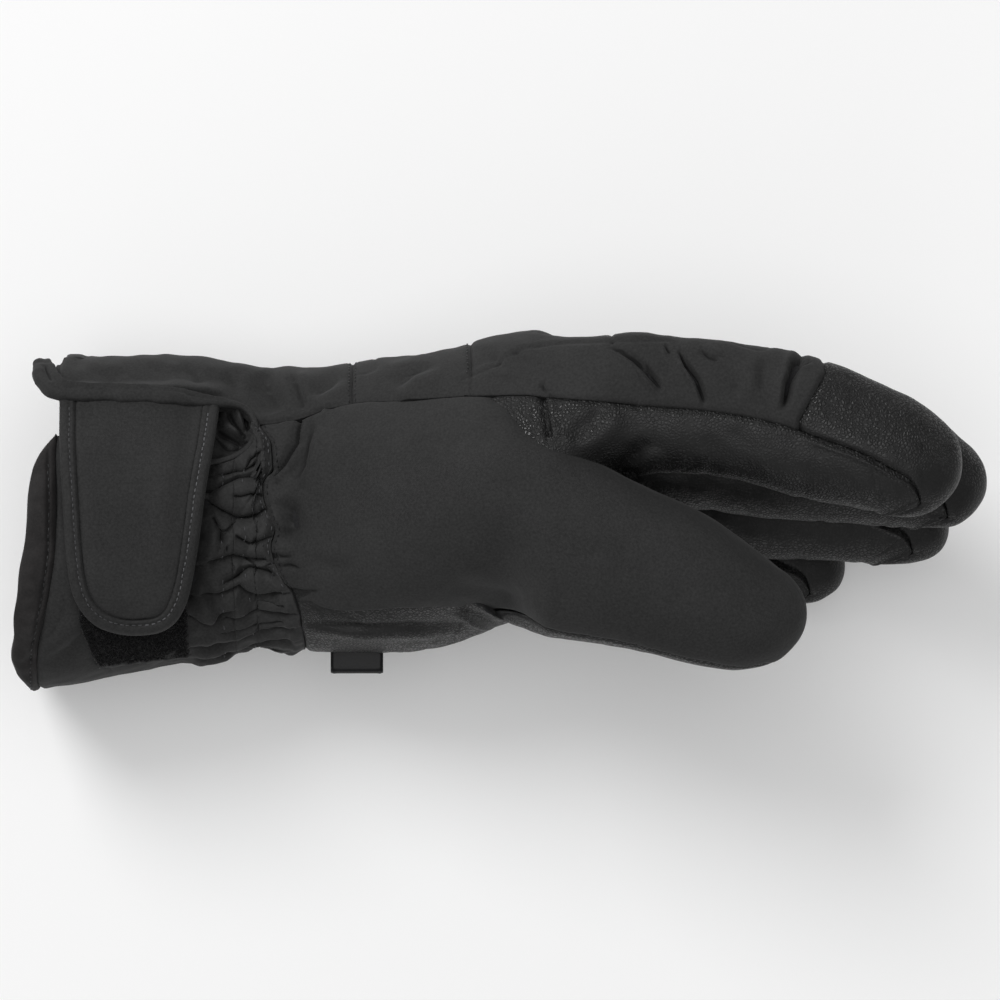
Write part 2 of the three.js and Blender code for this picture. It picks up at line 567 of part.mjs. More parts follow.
// A short folded loop of webbing below the heel of the palm, open towards the palm
function makeLoop() {
  const slot = LOOP.space / 2;
  const r = slot + LOOP.layer;
  const outline = new THREE.Shape();
  outline.moveTo(LOOP.top, -r);
  outline.lineTo(LOOP.bottom, -r);
  outline.absarc(LOOP.bottom, 0, r, -Math.PI / 2, -1.5 * Math.PI, true);
  outline.lineTo(LOOP.top, r);
  outline.lineTo(LOOP.top, slot);
  outline.lineTo(LOOP.bottom, slot);
  outline.lineTo(LOOP.bottom, -slot);
  outline.lineTo(LOOP.top, -slot);
  outline.closePath();
  const settings = { depth: LOOP.right - LOOP.left, bevelEnabled: false, curveSegments: 5 };
  const g = new THREE.ExtrudeGeometry(outline, settings);
  // the outline lies in Y and Z and is drawn out along X
  g.applyMatrix4(new THREE.Matrix4().set(0, 0, 1, LOOP.left, 1, 0, 0, 0, 0, 1, 0, LOOP.z, 0, 0, 0, 1));
  const keepOut = solid(rod(handRings([-62, -55, -43, -29, -14], -GAP)));
  add("clip_loop", cutPiece(solid(g).subtract(keepOut)), WEBBING);
}

makeCuff();
makeWrist();
makeSlit();
makeStrap();
makeBack();
makePalm();
makeThumb();
for (const [name, finger] of Object.entries(FINGERS)) makeFinger(name, finger);
makeLoop();

export default glove;
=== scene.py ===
"""The looks of a padded winter glove, left hand, lying on its little-finger side with the thumb on top.

All lengths are millimetres until a mesh is made. +X runs from the cuff to the fingertips, +Y to the
back of the hand and +Z up to the thumb side. Every shell is a patch of one of six tubes (the hand, the
thumb and four fingers), on a grid of two parameters, moved along its normals by folds and seams.
Angles are degrees round a tube: 0 at the back of the hand, 90 on the thumb side and 180 at the palm.
"""

import json
import math

import bpy
import numpy as np
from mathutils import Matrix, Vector

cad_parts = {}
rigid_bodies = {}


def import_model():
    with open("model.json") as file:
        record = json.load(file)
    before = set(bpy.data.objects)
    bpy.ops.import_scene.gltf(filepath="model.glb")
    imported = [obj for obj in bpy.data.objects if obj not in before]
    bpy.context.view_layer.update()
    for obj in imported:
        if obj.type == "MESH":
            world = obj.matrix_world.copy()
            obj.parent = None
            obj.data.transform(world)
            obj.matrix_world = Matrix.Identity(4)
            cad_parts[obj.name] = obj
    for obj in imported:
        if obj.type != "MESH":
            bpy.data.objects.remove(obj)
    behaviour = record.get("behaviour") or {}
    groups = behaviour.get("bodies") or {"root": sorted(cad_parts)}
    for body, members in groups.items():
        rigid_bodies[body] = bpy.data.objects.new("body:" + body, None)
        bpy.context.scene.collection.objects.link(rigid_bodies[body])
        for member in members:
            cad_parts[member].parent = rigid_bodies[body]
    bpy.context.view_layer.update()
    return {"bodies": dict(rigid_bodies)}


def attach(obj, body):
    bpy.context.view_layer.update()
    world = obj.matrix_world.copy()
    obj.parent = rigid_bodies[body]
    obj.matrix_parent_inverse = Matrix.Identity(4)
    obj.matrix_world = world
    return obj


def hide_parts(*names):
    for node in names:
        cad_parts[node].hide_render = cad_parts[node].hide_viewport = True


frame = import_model()
BODY = next(iter(frame["bodies"]))
MM = 0.001

# The glove's sections
# Columns: x, back, palm, height of the middle, half width, lean in degrees, squareness
HAND = [
    (-142, 44.4, -52.8, 37, 39, 0, 2.4), (-127, 44.9, -51.0, 37, 39, 0, 2.4),
    (-113, 45.4, -47.9, 36.5, 38, 0, 2.3), (-98, 45.2, -45.5, 36.5, 35.5, 0, 2.2),
    (-87, 44.4, -43.2, 35.5, 32.5, 0, 2.2), (-77, 42.9, -40.9, 35.5, 29.5, 0, 2.1),
    (-69, 41.8, -38.5, 36, 28, 2, 2.1), (-62, 41.3, -39.0, 36.5, 29, 5, 2.1),
    (-55, 41.8, -40.8, 37.5, 31.5, 8, 2.2), (-43, 43.1, -42.0, 39, 35.5, 12, 2.3),
    (-29, 45.2, -41.2, 41.5, 40, 16, 2.4), (-14, 47.6, -38.6, 43.5, 44, 20, 2.5),
    (0, 51.0, -34.2, 45, 47, 22, 2.6), (14, 52.6, -28.5, 46, 48.5, 24, 2.7),
    (29, 52.2, -22.6, 46, 49.5, 25, 2.8), (42, 50.2, -20.0, 46, 50, 26, 3),
]
# Columns: x, back, palm, height of the middle, half width, squareness
THUMB = [
    (-30, 31.5, -31, 60, 28, 2.8), (-14, 31.5, -31.5, 67, 28, 2.4), (0, 31.0, -34.4, 73, 27, 2.3),
    (8, 26.6, -35.4, 76, 26.2, 2.3), (13, 24.6, -36.0, 77.5, 25.6, 2.3), (22, 18.6, -37.2, 80, 24, 2.3),
    (29, 14.4, -38.2, 81.5, 22.5, 2.3), (43.5, 6.7, -41.0, 82, 20.5, 2.3), (58, -0.3, -43.9, 81, 19, 2.3),
    (72.5, -9.0, -46.2, 79, 17.8, 2.3), (81.3, -12.8, -46.4, 78, 17, 2.2),
    (88.3, -12.7, -46.3, 77, 16.8, 2.1),
]
THUMB_ROUND_FROM = 62
# cap and front are the x where the fingertip's leather begins and where the front panel ends. From
# round_from on the tube narrows to the tip. seed draws the waver of its creases. The rows have the
# thumb's columns.
FINGERS = {
    "index": dict(cap=89.5, front=121, round_from=104, seed=31, rows=[
        (42.5, 51.0, 11.8, 81.2, 12.1, 2.3), (58, 49.6, 10.2, 81.2, 12.1, 2.2),
        (72.5, 47.3, 8.1, 81.2, 12.1, 2.2), (87, 44.7, 5.2, 81, 12.1, 2.2),
        (101.6, 40.0, 1.5, 80.8, 12, 2.2), (113, 35.8, -2.2, 80.5, 12, 2.2),
        (122, 33.7, -4.2, 80.2, 12, 2.2), (132.8, 32.9, -4.9, 80, 12, 2.1)]),
    "middle": dict(cap=103, front=130, round_from=108, seed=37, rows=[
        (42.5, 40.0, 1.7, 56.3, 11.8, 2.3), (58, 38.3, 0.3, 56.3, 11.8, 2.2),
        (75.5, 36.0, -2, 56.3, 11.8, 2.2), (93, 34.2, -3.2, 56, 11.8, 2.2),
        (110, 32.5, -4.4, 55.8, 11.7, 2.2), (125, 29.8, -6.6, 55.5, 11.7, 2.2),
        (133.5, 26.6, -8.8, 55.2, 11.7, 2.2), (141.4, 25.3, -8.7, 55, 11.7, 2.1)]),
    "ring": dict(cap=93, front=121, round_from=105, seed=41, rows=[
        (42.5, 26.1, -8.7, 33, 11.4, 2.3), (58, 23.5, -11.3, 33, 11.4, 2.2),
        (75.5, 21.2, -13.3, 33, 11.4, 2.2), (93, 19.4, -14.2, 32.8, 11.3, 2.2),
        (107.5, 18.0, -15.1, 32.5, 11, 2.2), (119, 16.5, -17.4, 32.2, 11, 2.2),
        (131.5, 12.7, -21.3, 32, 11, 2.1)]),
    "little": dict(cap=68, front=92, round_from=77, seed=47, rows=[
        (42.5, 12.8, -18.6, 10.5, 11.5, 2.3), (58, 9.6, -21.8, 10.5, 11.5, 2.2),
        (72.5, 6.7, -24.7, 10.4, 11.4, 2.2), (84, 3.9, -27.4, 10.2, 11.2, 2.2),
        (93, 1.8, -30.0, 10, 11.3, 2.2), (102, -1.7, -31.2, 9.7, 11.2, 2.1)]),
}
TIP_ROUNDNESS = (2.2, 2.4)  # powers with which a tip narrows in y and in z
TOP_ANGLE = 90.0  # the middle of the thumb side, as an angle round a tube

# Seams, seen from the thumb side
WALL = 3.2  # between a panel's face and its inner side
MOUTH_X = -130.0  # where the heights of the cuff's two ends are read
WRIST_X = -77.0
WRIST_SEAM_X = -68.0
BACK_SEAM_X = -42.8
KNUCKLE_SEAM_X = -8.5
KNUCKLES_X = 8.0  # where the hand's section begins to take the shape of four finger roots
ROOT_X = 41.0  # the hand's shells end here and the fingers' begin
ULNAR_SEAM_DEG = 275.0  # the seam on the little-finger side
BACK_START = ULNAR_SEAM_DEG - 360  # the same seam, reached from the back
CORNER_TAB = 2.7  # how far the cuff's turned-in corner reaches beyond its end
# The cuff's two ends and the wrist seam: height y, x
CUFF_END = [
    (-52, -136.5), (-42, -141.0), (-26, -139), (3, -135.8), (12, -134.4), (17, -132.0), (20, -129.8),
    (22.2, -127.8), (28, -127), (46, -127),
]
HEM_LINE = [
    (-52, -134.5), (-39.4, -133), (-23.5, -129.5), (-9.6, -127.7), (4.9, -127.5), (15, -127.8),
    (22.2, -127.5),
]
WRIST_SEAM = [
    (-42, -56.4), (-38.9, -56.7), (-30.4, -57.9), (-24.9, -59.9), (-20.6, -62.8), (-15.1, -65.4),
    (-10.1, -66.2), (-5.2, -64.9), (-0.6, -66.9), (4, -68.3), (8.2, -68.6), (12.5, -65.8), (19.1, -66.2),
    (24.9, -69.4), (45, -71),
]
# Long seams and edges: x, height y
UPPER_SEAM = [  # where the back's cloth meets the cloth over the thumb
    (-127, 31.4), (-80, 30.4), (-73.5, 28.6), (-70, 25.4), (-58, 27.4), (-52.3, 29.3), (-41.3, 31.3),
    (-27.4, 31.9), (-17, 32.8), (0, 33.6), (14, 32.8), (46, 29.6),
]
LOWER_SEAM = [(-57, -27.4), (-45, -29.0), (-12.6, -28.4), (5.9, -30.9), (14, -33)]
PALM_EDGE = [(-70, -8), (-40, -8), (-14, 0), (-6, 28), (-1, 33.3), (14.1, 32.6), (46, 29.4)]
SLIT_EDGE = [(-142, 22.2), (-127.8, 22.2), (-121, 16.5), (-80.8, 13.6), (-77, 14.6)]
GATHER_EDGE = [(-77, 14.6), (-75.3, 15.8), (-71.8, 18.9), (-70.4, 22), (-70, 25)]
# Columns: x, angle of the upper seam, angle of the lower seam, round the thumb
THUMB_SEAM = [(-30, -8, 176), (0, -8, 152), (13, -8, 156), (58, -8, 161), (76, -9, 165), (84, -10, 168)]
THUMB_FRONT_END = 84.5
THUMB_CLOSES_FROM = THUMB_FRONT_END - 9
THUMB_LEAVES = (-10, 15)  # x between which the thumb leaves the hand's surface for its own tube
THUMB_RISE = [  # x, how far the cloth over the thumb's root stands above the hand
    (-70, 0.5), (-64, 1.4), (-56, 3.0), (-43, 5.2), (-29, 6.8), (-14, 8.0), (0, 9.0), (14, 11),
]
# Columns: share of the way from cap to the front panel's end, its upper and lower seam's angle
FRONT_SEAM = [
    (-2.0, 93, 267), (-0.15, 92, 267), (0.15, 95, 266), (0.42, 98, 244), (0.58, 100.5, 205), (0.7, 104, 176),
    (0.85, 109, 159), (0.95, 122, 151), (1, 144, 146),
]
TONGUE = [  # height y, left side, right side
    (-36, -107, -104), (-35.6, -110.5, -99.5), (-35, -112.2, -97.2), (-33.5, -116, -94.6),
    (-31, -119, -92.2), (-26, -122.2, -89.8), (-19.7, -123.7, -88.3), (-10, -124.7, -86.6),
    (5, -125.6, -84.7), (20, -126.6, -82.2), (31.4, -126.9, -80.8),
]


# Tables, curves and tubes
def read(rows, x):
    """Reads a table as smooth curves: cubic Hermite spans. The slope at an inner row is twice the product
    of the two neighbouring chords' slopes over their sum where they agree in sign, and flat where not."""
    rows = np.asarray(rows, float)
    at, values = rows[:, 0], rows[:, 1:]
    chord = np.diff(values, axis=0) / np.diff(at)[:, None]
    a, b = chord[:-1], chord[1:]
    agree = a * b > 0
    inner = np.where(agree, 2 * a * b / np.where(agree, a + b, 1), 0)
    slope = np.vstack([chord[:1], inner, chord[-1:]])
    x = np.clip(np.asarray(x, float), at[0], at[-1])
    i = np.clip(np.searchsorted(at, x, side="right") - 1, 0, len(at) - 2)
    h = at[i + 1] - at[i]
    t, h = ((x - at[i]) / h)[..., None], h[..., None]
    t2, t3 = t * t, t * t * t
    return (
        (2 * t3 - 3 * t2 + 1) * values[i] + (t3 - 2 * t2 + t) * h * slope[i]
        + (3 * t2 - 2 * t3) * values[i + 1] + (t3 - t2) * h * slope[i + 1]
    )


def columns_at(rows, x):
    """The columns of a table at x, one array each."""
    return np.moveaxis(read(rows, x), -1, 0)


def line(rows):
    """A table's one column as a curve."""
    return lambda x: read(rows, x)[..., 0]


def constant(value):
    """A curve that has one value everywhere."""
    return lambda x: np.full(np.shape(x), float(value))


def smooth(low, high, x):
    """0 below low, 1 above high, and an S-shaped rise between."""
    t = np.clip((np.asarray(x, float) - low) / (high - low), 0, 1)
    return t * t * (3 - 2 * t)


def mix(a, b, share):
    """a at a share of 0, b at 1."""
    return a + (b - a) * share


def hump(off, width):
    """A bell of height 1: exp(-(off / width)^2)."""
    return np.exp(-((off / width) ** 2))


def power(value, exponent):
    """The size of a number to a power, with the number's own sign."""
    return np.sign(value) * np.abs(value) ** exponent


def section(rows, x, deg, round_from=None):
    """A leaning superellipse read from a table at x: the point at an angle as x, y and z, the height of the
    section's middle, half its height, and a number whose sign says whether the point is on the back (+) or
    the palm (-). Past round_from the extents shrink to nothing at the last row as (1 - v^m)^(1/m), v
    running from 0 to 1."""
    x, deg = np.broadcast_arrays(np.asarray(x, float), np.asarray(deg, float))
    row = columns_at(rows, x)
    back, palm, middle, half = row[:4]
    lean, n = (row[4], row[5]) if len(row) == 6 else (0.0, row[4])
    tilt = np.radians(lean)
    reach = (back - palm) / 2
    if round_from is not None:
        v = np.clip((x - round_from) / (rows[-1][0] - round_from), 0, 1)
        in_y, in_z = TIP_ROUNDNESS
        reach = reach * (1 - v**in_y) ** (1 / in_y)
        half = half * (1 - v**in_z) ** (1 / in_z)
    dual = n / (n - 1)
    upright = np.maximum(reach**dual - np.abs(half * np.sin(tilt)) ** dual, 0.001) ** (1 / dual)
    thick = upright / np.cos(tilt)
    c, s = np.cos(np.radians(deg)), np.sin(np.radians(deg))
    p, q = power(c, 2 / n) * thick, power(s, 2 / n) * half
    y = (back + palm) / 2 + p * np.cos(tilt) + q * np.sin(tilt)
    z = middle - p * np.sin(tilt) + q * np.cos(tilt)
    tall = ((thick * np.abs(np.sin(tilt))) ** dual + (half * np.cos(tilt)) ** dual) ** (1 / dual)
    backward = power(c, 2 - 2 / n) / thick * np.cos(tilt)
    backward = backward + power(s, 2 - 2 / n) / np.maximum(half, 0.01) * np.sin(tilt)
    return x, y, z, middle, tall, backward


def tube(rows, round_from=None):
    """A table of sections as a surface of x and the angle round it. Below the floor it lies on the floor."""
    def surface(x, deg):
        """The points at x and the angle."""
        x, y, z, *_ = section(rows, x, deg, round_from)
        return np.stack([x, y, np.maximum(z, 0)], -1)

    return surface


hand_plain = tube(HAND)
thumb_tube = tube(THUMB, THUMB_ROUND_FROM)
ROOTS = np.array([finger["rows"][0] for finger in FINGERS.values()])


def roots_outline(z, side):
    """The outline of the four finger roots standing side by side, as heights y over z: the outermost of
    their superellipses, softly joined in the valleys. side is 1 for the back and -1 for the palm. Each
    finger counts only near its own z, so that a neighbour doesn't stand in for it."""
    beside, sharp, level = 60, 2.2, 30
    _, back, palm, middle, half, n = ROOTS.T
    u = np.abs(z[..., None] - middle) / half
    rise = (back - palm) / 2 * np.maximum(1 - np.minimum(u, 1) ** n, 0) ** (1 / n)
    y = (back + palm) / 2 * side[..., None] + rise - beside * np.maximum(u - 1, 0)
    return side * np.log(np.exp((y - level) * sharp).sum(-1)) / sharp + side * level


def hand(x, deg):
    """The hand's surface. From the knuckles on, each point glides from the hand's plain section onto the
    outline of the four finger roots at the same share of the height."""
    x, y, z, middle, tall, backward = section(HAND, x, deg)
    near_roots = smooth(KNUCKLES_X, ROOT_X - 1, x)
    side = np.where(backward >= 0, 1.0, -1.0)
    share = np.clip((z - middle + tall) / (2 * tall), 0, 1)
    low, high = ROOTS[3, 3] - ROOTS[3, 4], ROOTS[0, 3] + ROOTS[0, 4]
    root_z = mix(low, high, share)
    y = mix(y, roots_outline(root_z, side), near_roots)
    z = mix(z, root_z, near_roots)
    return np.stack([x, y, np.maximum(z, 0)], -1)


def angle_at(x, y):
    """The angle at which the hand's thumb side has the height y, by halving an interval that runs from
    near the section's highest point to the palm."""
    x, y = np.broadcast_arrays(np.asarray(x, float), np.asarray(y, float))
    lean = read(HAND, x)[..., 4]
    low, high = lean * 1.1, np.full(x.shape, 180.0)
    for _ in range(26):
        middle = (low + high) / 2
        above_y = hand_plain(x, middle)[..., 1] > y
        low, high = np.where(above_y, middle, low), np.where(above_y, high, middle)
    return low


def seam_round(rows, near):
    """A seam that runs round the hand: x as a curve of the angle, read at the height y that the hand has
    at that angle near one place of x."""
    return lambda deg: line(rows)(hand_plain(np.full(np.shape(deg), float(near)), deg)[..., 1])


def seam_angle(rows):
    """A seam's angle on the hand as a fast curve of x: the place nearest the top of the thumb side where
    the section crosses the seam's height."""
    xs, deg = np.linspace(HAND[0][0], ROOT_X, 220), np.linspace(5, 200, 1500)
    _, y, z = np.moveaxis(hand(xs[:, None], deg[None]), -1, 0)
    target = line(rows)(xs)
    i, k = np.arange(len(xs)), np.arange(len(deg))
    top = np.argmax(z, axis=1)
    down = target < y[i, top]
    ahead = np.argmax((k[None] >= top[:, None]) & (y <= target[:, None]), axis=1)
    over = (k[None] <= top[:, None]) & (y >= target[:, None])
    behind = len(deg) - 1 - np.argmax(over[:, ::-1], axis=1)
    one = np.where(down, ahead - 1, behind)
    share = np.clip((y[i, one] - target) / np.maximum(y[i, one] - y[i, one + 1], 1e-9), 0, 1)
    table = mix(deg[one], deg[one + 1], share)
    return lambda x: np.interp(x, xs, table)


def corner_tab(deg):
    """1 where the cuff's corner beside the slit is turned in and shows as a narrow facing, else 0."""
    y = hand_plain(np.full(np.shape(deg), MOUTH_X), deg)[..., 1]
    return smooth(34.0, 36.5, y) * (1 - smooth(43.7, 44.7, y)) * (np.asarray(deg) > 10)


def cuff_end(deg):
    """The x of the cuff's end at an angle round it."""
    return seam_round(CUFF_END, MOUTH_X)(deg) - CORNER_TAB * corner_tab(deg)


hem_line = seam_round(HEM_LINE, MOUTH_X)
wrist_seam = seam_round(WRIST_SEAM, WRIST_SEAM_X)
upper_angle = seam_angle(UPPER_SEAM)
palm_angle = seam_angle(PALM_EDGE)
slit_angle = seam_angle(SLIT_EDGE)
ulnar_angle = constant(ULNAR_SEAM_DEG)


# Relief
def unit(vectors):
    """The vectors at length 1."""
    return vectors / np.maximum(np.linalg.norm(vectors, axis=-1, keepdims=True), 1e-9)


def normals(grid):
    """Unit normals of a grid: across the columns crossed with along the rows."""
    return unit(np.cross(np.gradient(grid, axis=1), np.gradient(grid, axis=0)))


def run_along(points, axis=0):
    """The length along a path, or along each line of a grid, from its first point."""
    steps = np.linalg.norm(np.diff(points, axis=axis), axis=-1)
    return np.insert(np.cumsum(steps, axis=axis), 0, 0.0, axis=axis)


def read_path(at, run, path):
    """The points, or other rows of numbers, at the given lengths along a path."""
    return np.stack([np.interp(at, run, column) for column in path.T], -1)


def waves(points, length, seed, count=14):
    """Smooth noise of about unit spread: sine waves of nearly one wavelength, in random directions."""
    rng = np.random.default_rng(seed)
    ways = unit(rng.normal(size=(count, 3))) * (2 * np.pi / length * rng.uniform(0.7, 1.4, (count, 1)))
    phase = rng.uniform(0, 2 * np.pi, count)
    total = np.zeros(points.shape[:-1])
    for way, start in zip(ways, phase):
        total += np.sin(points @ way + start)
    return total / math.sqrt(count / 2)


def swells(points, *rows):
    """The sum of several noises, each a row of its height, wavelength and seed."""
    return sum(height * waves(points, length, seed) for height, length, seed in rows)


def creases(points, length, seed, thin):
    """Scattered soft creases: 1 along the zero lines of one noise, only where a second one is high."""
    where = smooth(0.2, 1.2, waves(points, length * 2.2, seed + 1))
    return hump(waves(points, length, seed), thin) * where


def soft(points, seed, amount=1.0):
    """The unevenness of padded cloth: broad and medium swells and a few shallow creases."""
    swell = swells(points, (0.25, 44, seed), (0.16, 19, seed + 5), (0.06, 8, seed + 9))
    return amount * (swell - 0.3 * creases(points, 26, seed + 20, 0.12))


def along(points, path):
    """Signed distance of each point (in its first two coordinates) from a polyline, and the share of the
    way along it. The sign is positive to the left of its direction."""
    path = np.asarray(path, float)
    best = np.full(points.shape[:-1], 1e9)
    share = np.zeros(points.shape[:-1])
    sign = np.ones(points.shape[:-1])
    start = run_along(path)
    for i, (a, way) in enumerate(zip(path[:-1], np.diff(path, axis=0))):
        length = np.linalg.norm(way)
        from_a = points[..., :2] - a
        t = np.clip(from_a @ way / length**2, 0, 1)
        off = from_a - t[..., None] * way
        distance = np.hypot(off[..., 0], off[..., 1])
        near = distance < best
        best = np.where(near, distance, best)
        share = np.where(near, (start[i] + t * length) / start[-1], share)
        sign = np.where(near, np.sign(way[0] * from_a[..., 1] - way[1] * from_a[..., 0]), sign)
    return best * sign, share


def fold(points, path, width, depth, lift=0.0, side=1, even=False):
    """A crease of the given depth along a polyline: steep below a ridge of height lift on one side, and 1.7
    times as wide on the other. It fades out towards its ends unless it is even."""
    off, share = along(points, path)
    off = off * side
    fade = 1.0 if even else np.clip(1 - np.abs(2 * share - 1) ** 2.5, 0, 1)
    crease = -depth * hump(off, np.where(off > 0, width, 1.7 * width))
    ridge = lift * hump(off - 2.4 * width, 1.6 * width)
    return (crease + ridge) * fade


def folds(points, rows):
    """The sum of several folds, each a row of what fold takes: path, width, depth, lift, side and even."""
    return sum(fold(points, *row) for row in rows)


def from_edges(grid):
    """Distance over the grid to its first row, last row, first column and last column."""
    down, over = run_along(grid), run_along(grid, 1)
    return down, down[-1:] - down, over, over[:, -1:] - over


SEAM_WIDTH = 0.9
PUCKER = 0.12  # height of the puckers beside a seam
PUCKER_LENGTH = 5.2
PUCKER_REACH = 2.6


def seams(grid, depths):
    """The cloth turns down into each seam with a round shoulder, and is drawn up in small puckers beside it.
    depths are those of the first row, last row, first column and last column: numbers, or arrays over the
    grid. Two panels that meet have the same depth there, and the same puckers, which follow their places."""
    relief = np.zeros(grid.shape[:2])
    edges = from_edges(grid)
    for k, (edge, depth) in enumerate(zip(edges, depths)):
        if np.any(depth):
            run = (edges[2] if k < 2 else grid[..., 0]) + 2 * waves(grid, 16, 1 + k)
            drawn = 0.5 + 0.5 * np.sin(run * 2 * np.pi / PUCKER_LENGTH)
            relief -= depth * hump(edge, SEAM_WIDTH)
            relief -= np.minimum(depth, 1) * PUCKER * np.exp(-edge / PUCKER_REACH) * drawn
    return relief


def rounded(edge, radius):
    """How far a surface drops towards an edge of the given radius: r (1 - sqrt(1 - (1 - e / r)^2)) at a
    distance e from it."""
    return radius * (1 - np.sqrt(np.clip(1 - (1 - np.clip(edge / radius, 0, 1)) ** 2, 0, 1)))


def hand_grid(x_from, x_to, angle_from, angle_to, rows, columns):
    """A grid on the hand and its angles: x runs between two curves of the angle, and the angle between two
    curves of x."""
    s, t = np.meshgrid(np.linspace(0, 1, rows), np.linspace(0, 1, columns), indexing="ij")
    x = np.full(s.shape, mix(x_from(TOP_ANGLE), x_to(TOP_ANGLE), 0.5))
    for _ in range(4):
        angle = mix(angle_from(x), angle_to(x), t)
        x = mix(x_from(angle), x_to(angle), s)
    return hand(x, angle), angle


def odd_count(a, b, cell):
    """An odd count of positions that divides a length into cells of about the given size."""
    return 2 * max(int(abs(b - a) / cell / 2 + 0.5), 1) + 1


def spaced(a, b, cell, crowd=0.0):
    """Positions from a to b, crowded towards b."""
    t = np.linspace(0, 1, odd_count(a, b, cell))
    return a + (b - a) * mix(t, np.sin(t * np.pi / 2), crowd)


# Meshes
ON_FLOOR = 0.02  # mm above the floor that a face keeps where the glove rests
INNER_ON_FLOOR = 0.6


def build_mesh(name, points, faces, uv=None, flat=(), lined=()):
    """A mesh object from points in mm and arrays of faces with equal counts of corners. flat lists which of
    the arrays are shaded flat, as cut edges are, and lined those that get the second material."""
    mesh = bpy.data.meshes.new("sewn_" + name)
    mesh.vertices.add(len(points))
    mesh.vertices.foreach_set("co", (points * MM).astype(np.float32).ravel())

    def per_face(value):
        """A whole number for each face, from its array's place in the list and the array."""
        return np.concatenate([np.full(len(f), value(k, f), np.int32) for k, f in enumerate(faces)])

    corners = per_face(lambda k, f: f.shape[1])
    loops = np.concatenate([f.ravel() for f in faces]).astype(np.int32)
    mesh.loops.add(len(loops))
    mesh.loops.foreach_set("vertex_index", loops)
    mesh.polygons.add(len(corners))
    mesh.polygons.foreach_set("loop_start", np.insert(np.cumsum(corners)[:-1], 0, 0).astype(np.int32))
    mesh.polygons.foreach_set("use_smooth", per_face(lambda k, f: k not in flat).astype(bool))
    mesh.polygons.foreach_set("material_index", per_face(lambda k, f: k in lined))
    if uv is not None:
        layer = mesh.uv_layers.new(name="cloth")
        layer.uv.foreach_set("vector", (uv[loops] * MM).astype(np.float32).ravel())
    mesh.update()
    mesh.validate()
    obj = bpy.data.objects.new("sewn_" + name, mesh)
    bpy.context.scene.collection.objects.link(obj)
    return obj


def finish(obj, slot, cloth=None, node_name=None, lining=None):
    """The piece rides on the glove's one body, stands for its CAD node if it has one, and gets its cloth on
    the face and the lining, where there is one, on its inner side."""
    cloth = cloth or CLOTHS[slot]
    obj.data.materials.append(cloth)
    obj.data.materials.append(lining or cloth)
    if node_name:
        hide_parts(node_name)
    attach(obj, BODY)


def volume(points, quads):
    """Six times the volume under a surface of quads. Its sign tells whether they face outwards."""
    a, b, c, d = (points[quads[:, k]] for k in range(4))
    return (np.einsum("ij,ij->i", a, np.cross(b, c)) + np.einsum("ij,ij->i", a, np.cross(c, d))).sum()


def grid_quads(index):
    """The quads between the rows and columns of a grid of point numbers."""
    corners = [index[:-1, :-1], index[:-1, 1:], index[1:, 1:], index[1:, :-1]]
    return np.stack(corners, -1).reshape(-1, 4)


def rim_faces(outer, inner):
    """Pentagons between an outer edge and an inner one that has every second of its points."""
    return np.stack([outer[:-2:2], inner[:-1], inner[1:], outer[2::2], outer[1:-1:2]], -1)


def split_quads(quads):
    """Quads with a repeated corner as triangles, apart from the whole ones."""
    same = [quads[:, k] == quads[:, (k + 1) % 4] for k in range(4)]
    triangles = []
    for k in range(4):
        first_same = same[k] & ~np.any(same[:k], axis=0) if k else same[0]
        triangles.append(quads[first_same][:, [j for j in range(4) if j != k]])
    a, b, c = np.vstack(triangles).T
    real = (a != b) & (b != c) & (a != c)
    return quads[~np.any(same, axis=0)], np.stack([a, b, c], -1)[real]


def shell(name, outer, inner, join_from=None, tip=False):
    """A closed shell from an outer and an inner grid of points, with a rim round them. The inner side, which
    is hardly seen, keeps every second row and column, so the rim is made of pentagons and all counts are
    odd. From the row join_from on, the first and last column are one, and with tip the last row closes."""
    inner = inner[::2, ::2]
    rows, columns = outer.shape[:2]
    out = np.arange(rows * columns).reshape(rows, columns)
    inn = out.size + np.arange(inner[..., 0].size).reshape(inner.shape[:2])
    if join_from is not None:
        out[join_from:, -1] = out[join_from:, 0]
        inn[join_from // 2 :, -1] = inn[join_from // 2 :, 0]
    if tip:
        out[-1], inn[-1] = out[-1, 0], inn[-1, 0]
    top = grid_quads(out)
    low = grid_quads(inn)[:, [0, 3, 2, 1]]
    rim = [rim_faces(out[0], inn[0])]
    if not tip:
        rim.append(rim_faces(out[-1, ::-1], inn[-1, ::-1]))
    open_to = rows if join_from is None else join_from + 1
    side, inner_side = out[:open_to], inn[: open_to // 2 + 1]
    rim.append(rim_faces(side[::-1, 0], inner_side[::-1, 0]))
    rim.append(rim_faces(side[:, -1], inner_side[:, -1]))
    rim = np.vstack(rim)
    points = np.concatenate([outer.reshape(-1, 3), inner.reshape(-1, 3)])
    if volume(points, np.vstack([top, low, rim[:, :4]])) < 0:
        top, low, rim = top[:, ::-1], low[:, ::-1], rim[:, ::-1]
    parts = [*split_quads(top), rim, *split_quads(low)]
    down, _, over, _ = from_edges(outer)
    uv = np.stack([down, over - over[:, [columns // 2]]], -1)
    uv = np.concatenate([uv.reshape(-1, 2), uv[::2, ::2].reshape(-1, 2)])
    used = np.zeros(len(points), bool)
    for part in parts:
        used[part.ravel()] = True
    fresh = np.cumsum(used) - 1
    return build_mesh(name, points[used], [fresh[part] for part in parts], uv[used], flat=(2,), lined=(3, 4))


def add_shell(name, outer, inner, slot, lining=None, **edges):
    """A shell that stands for the CAD node of the same name."""
    finish(shell(name, outer, inner, **edges), slot, node_name=name, lining=lining)


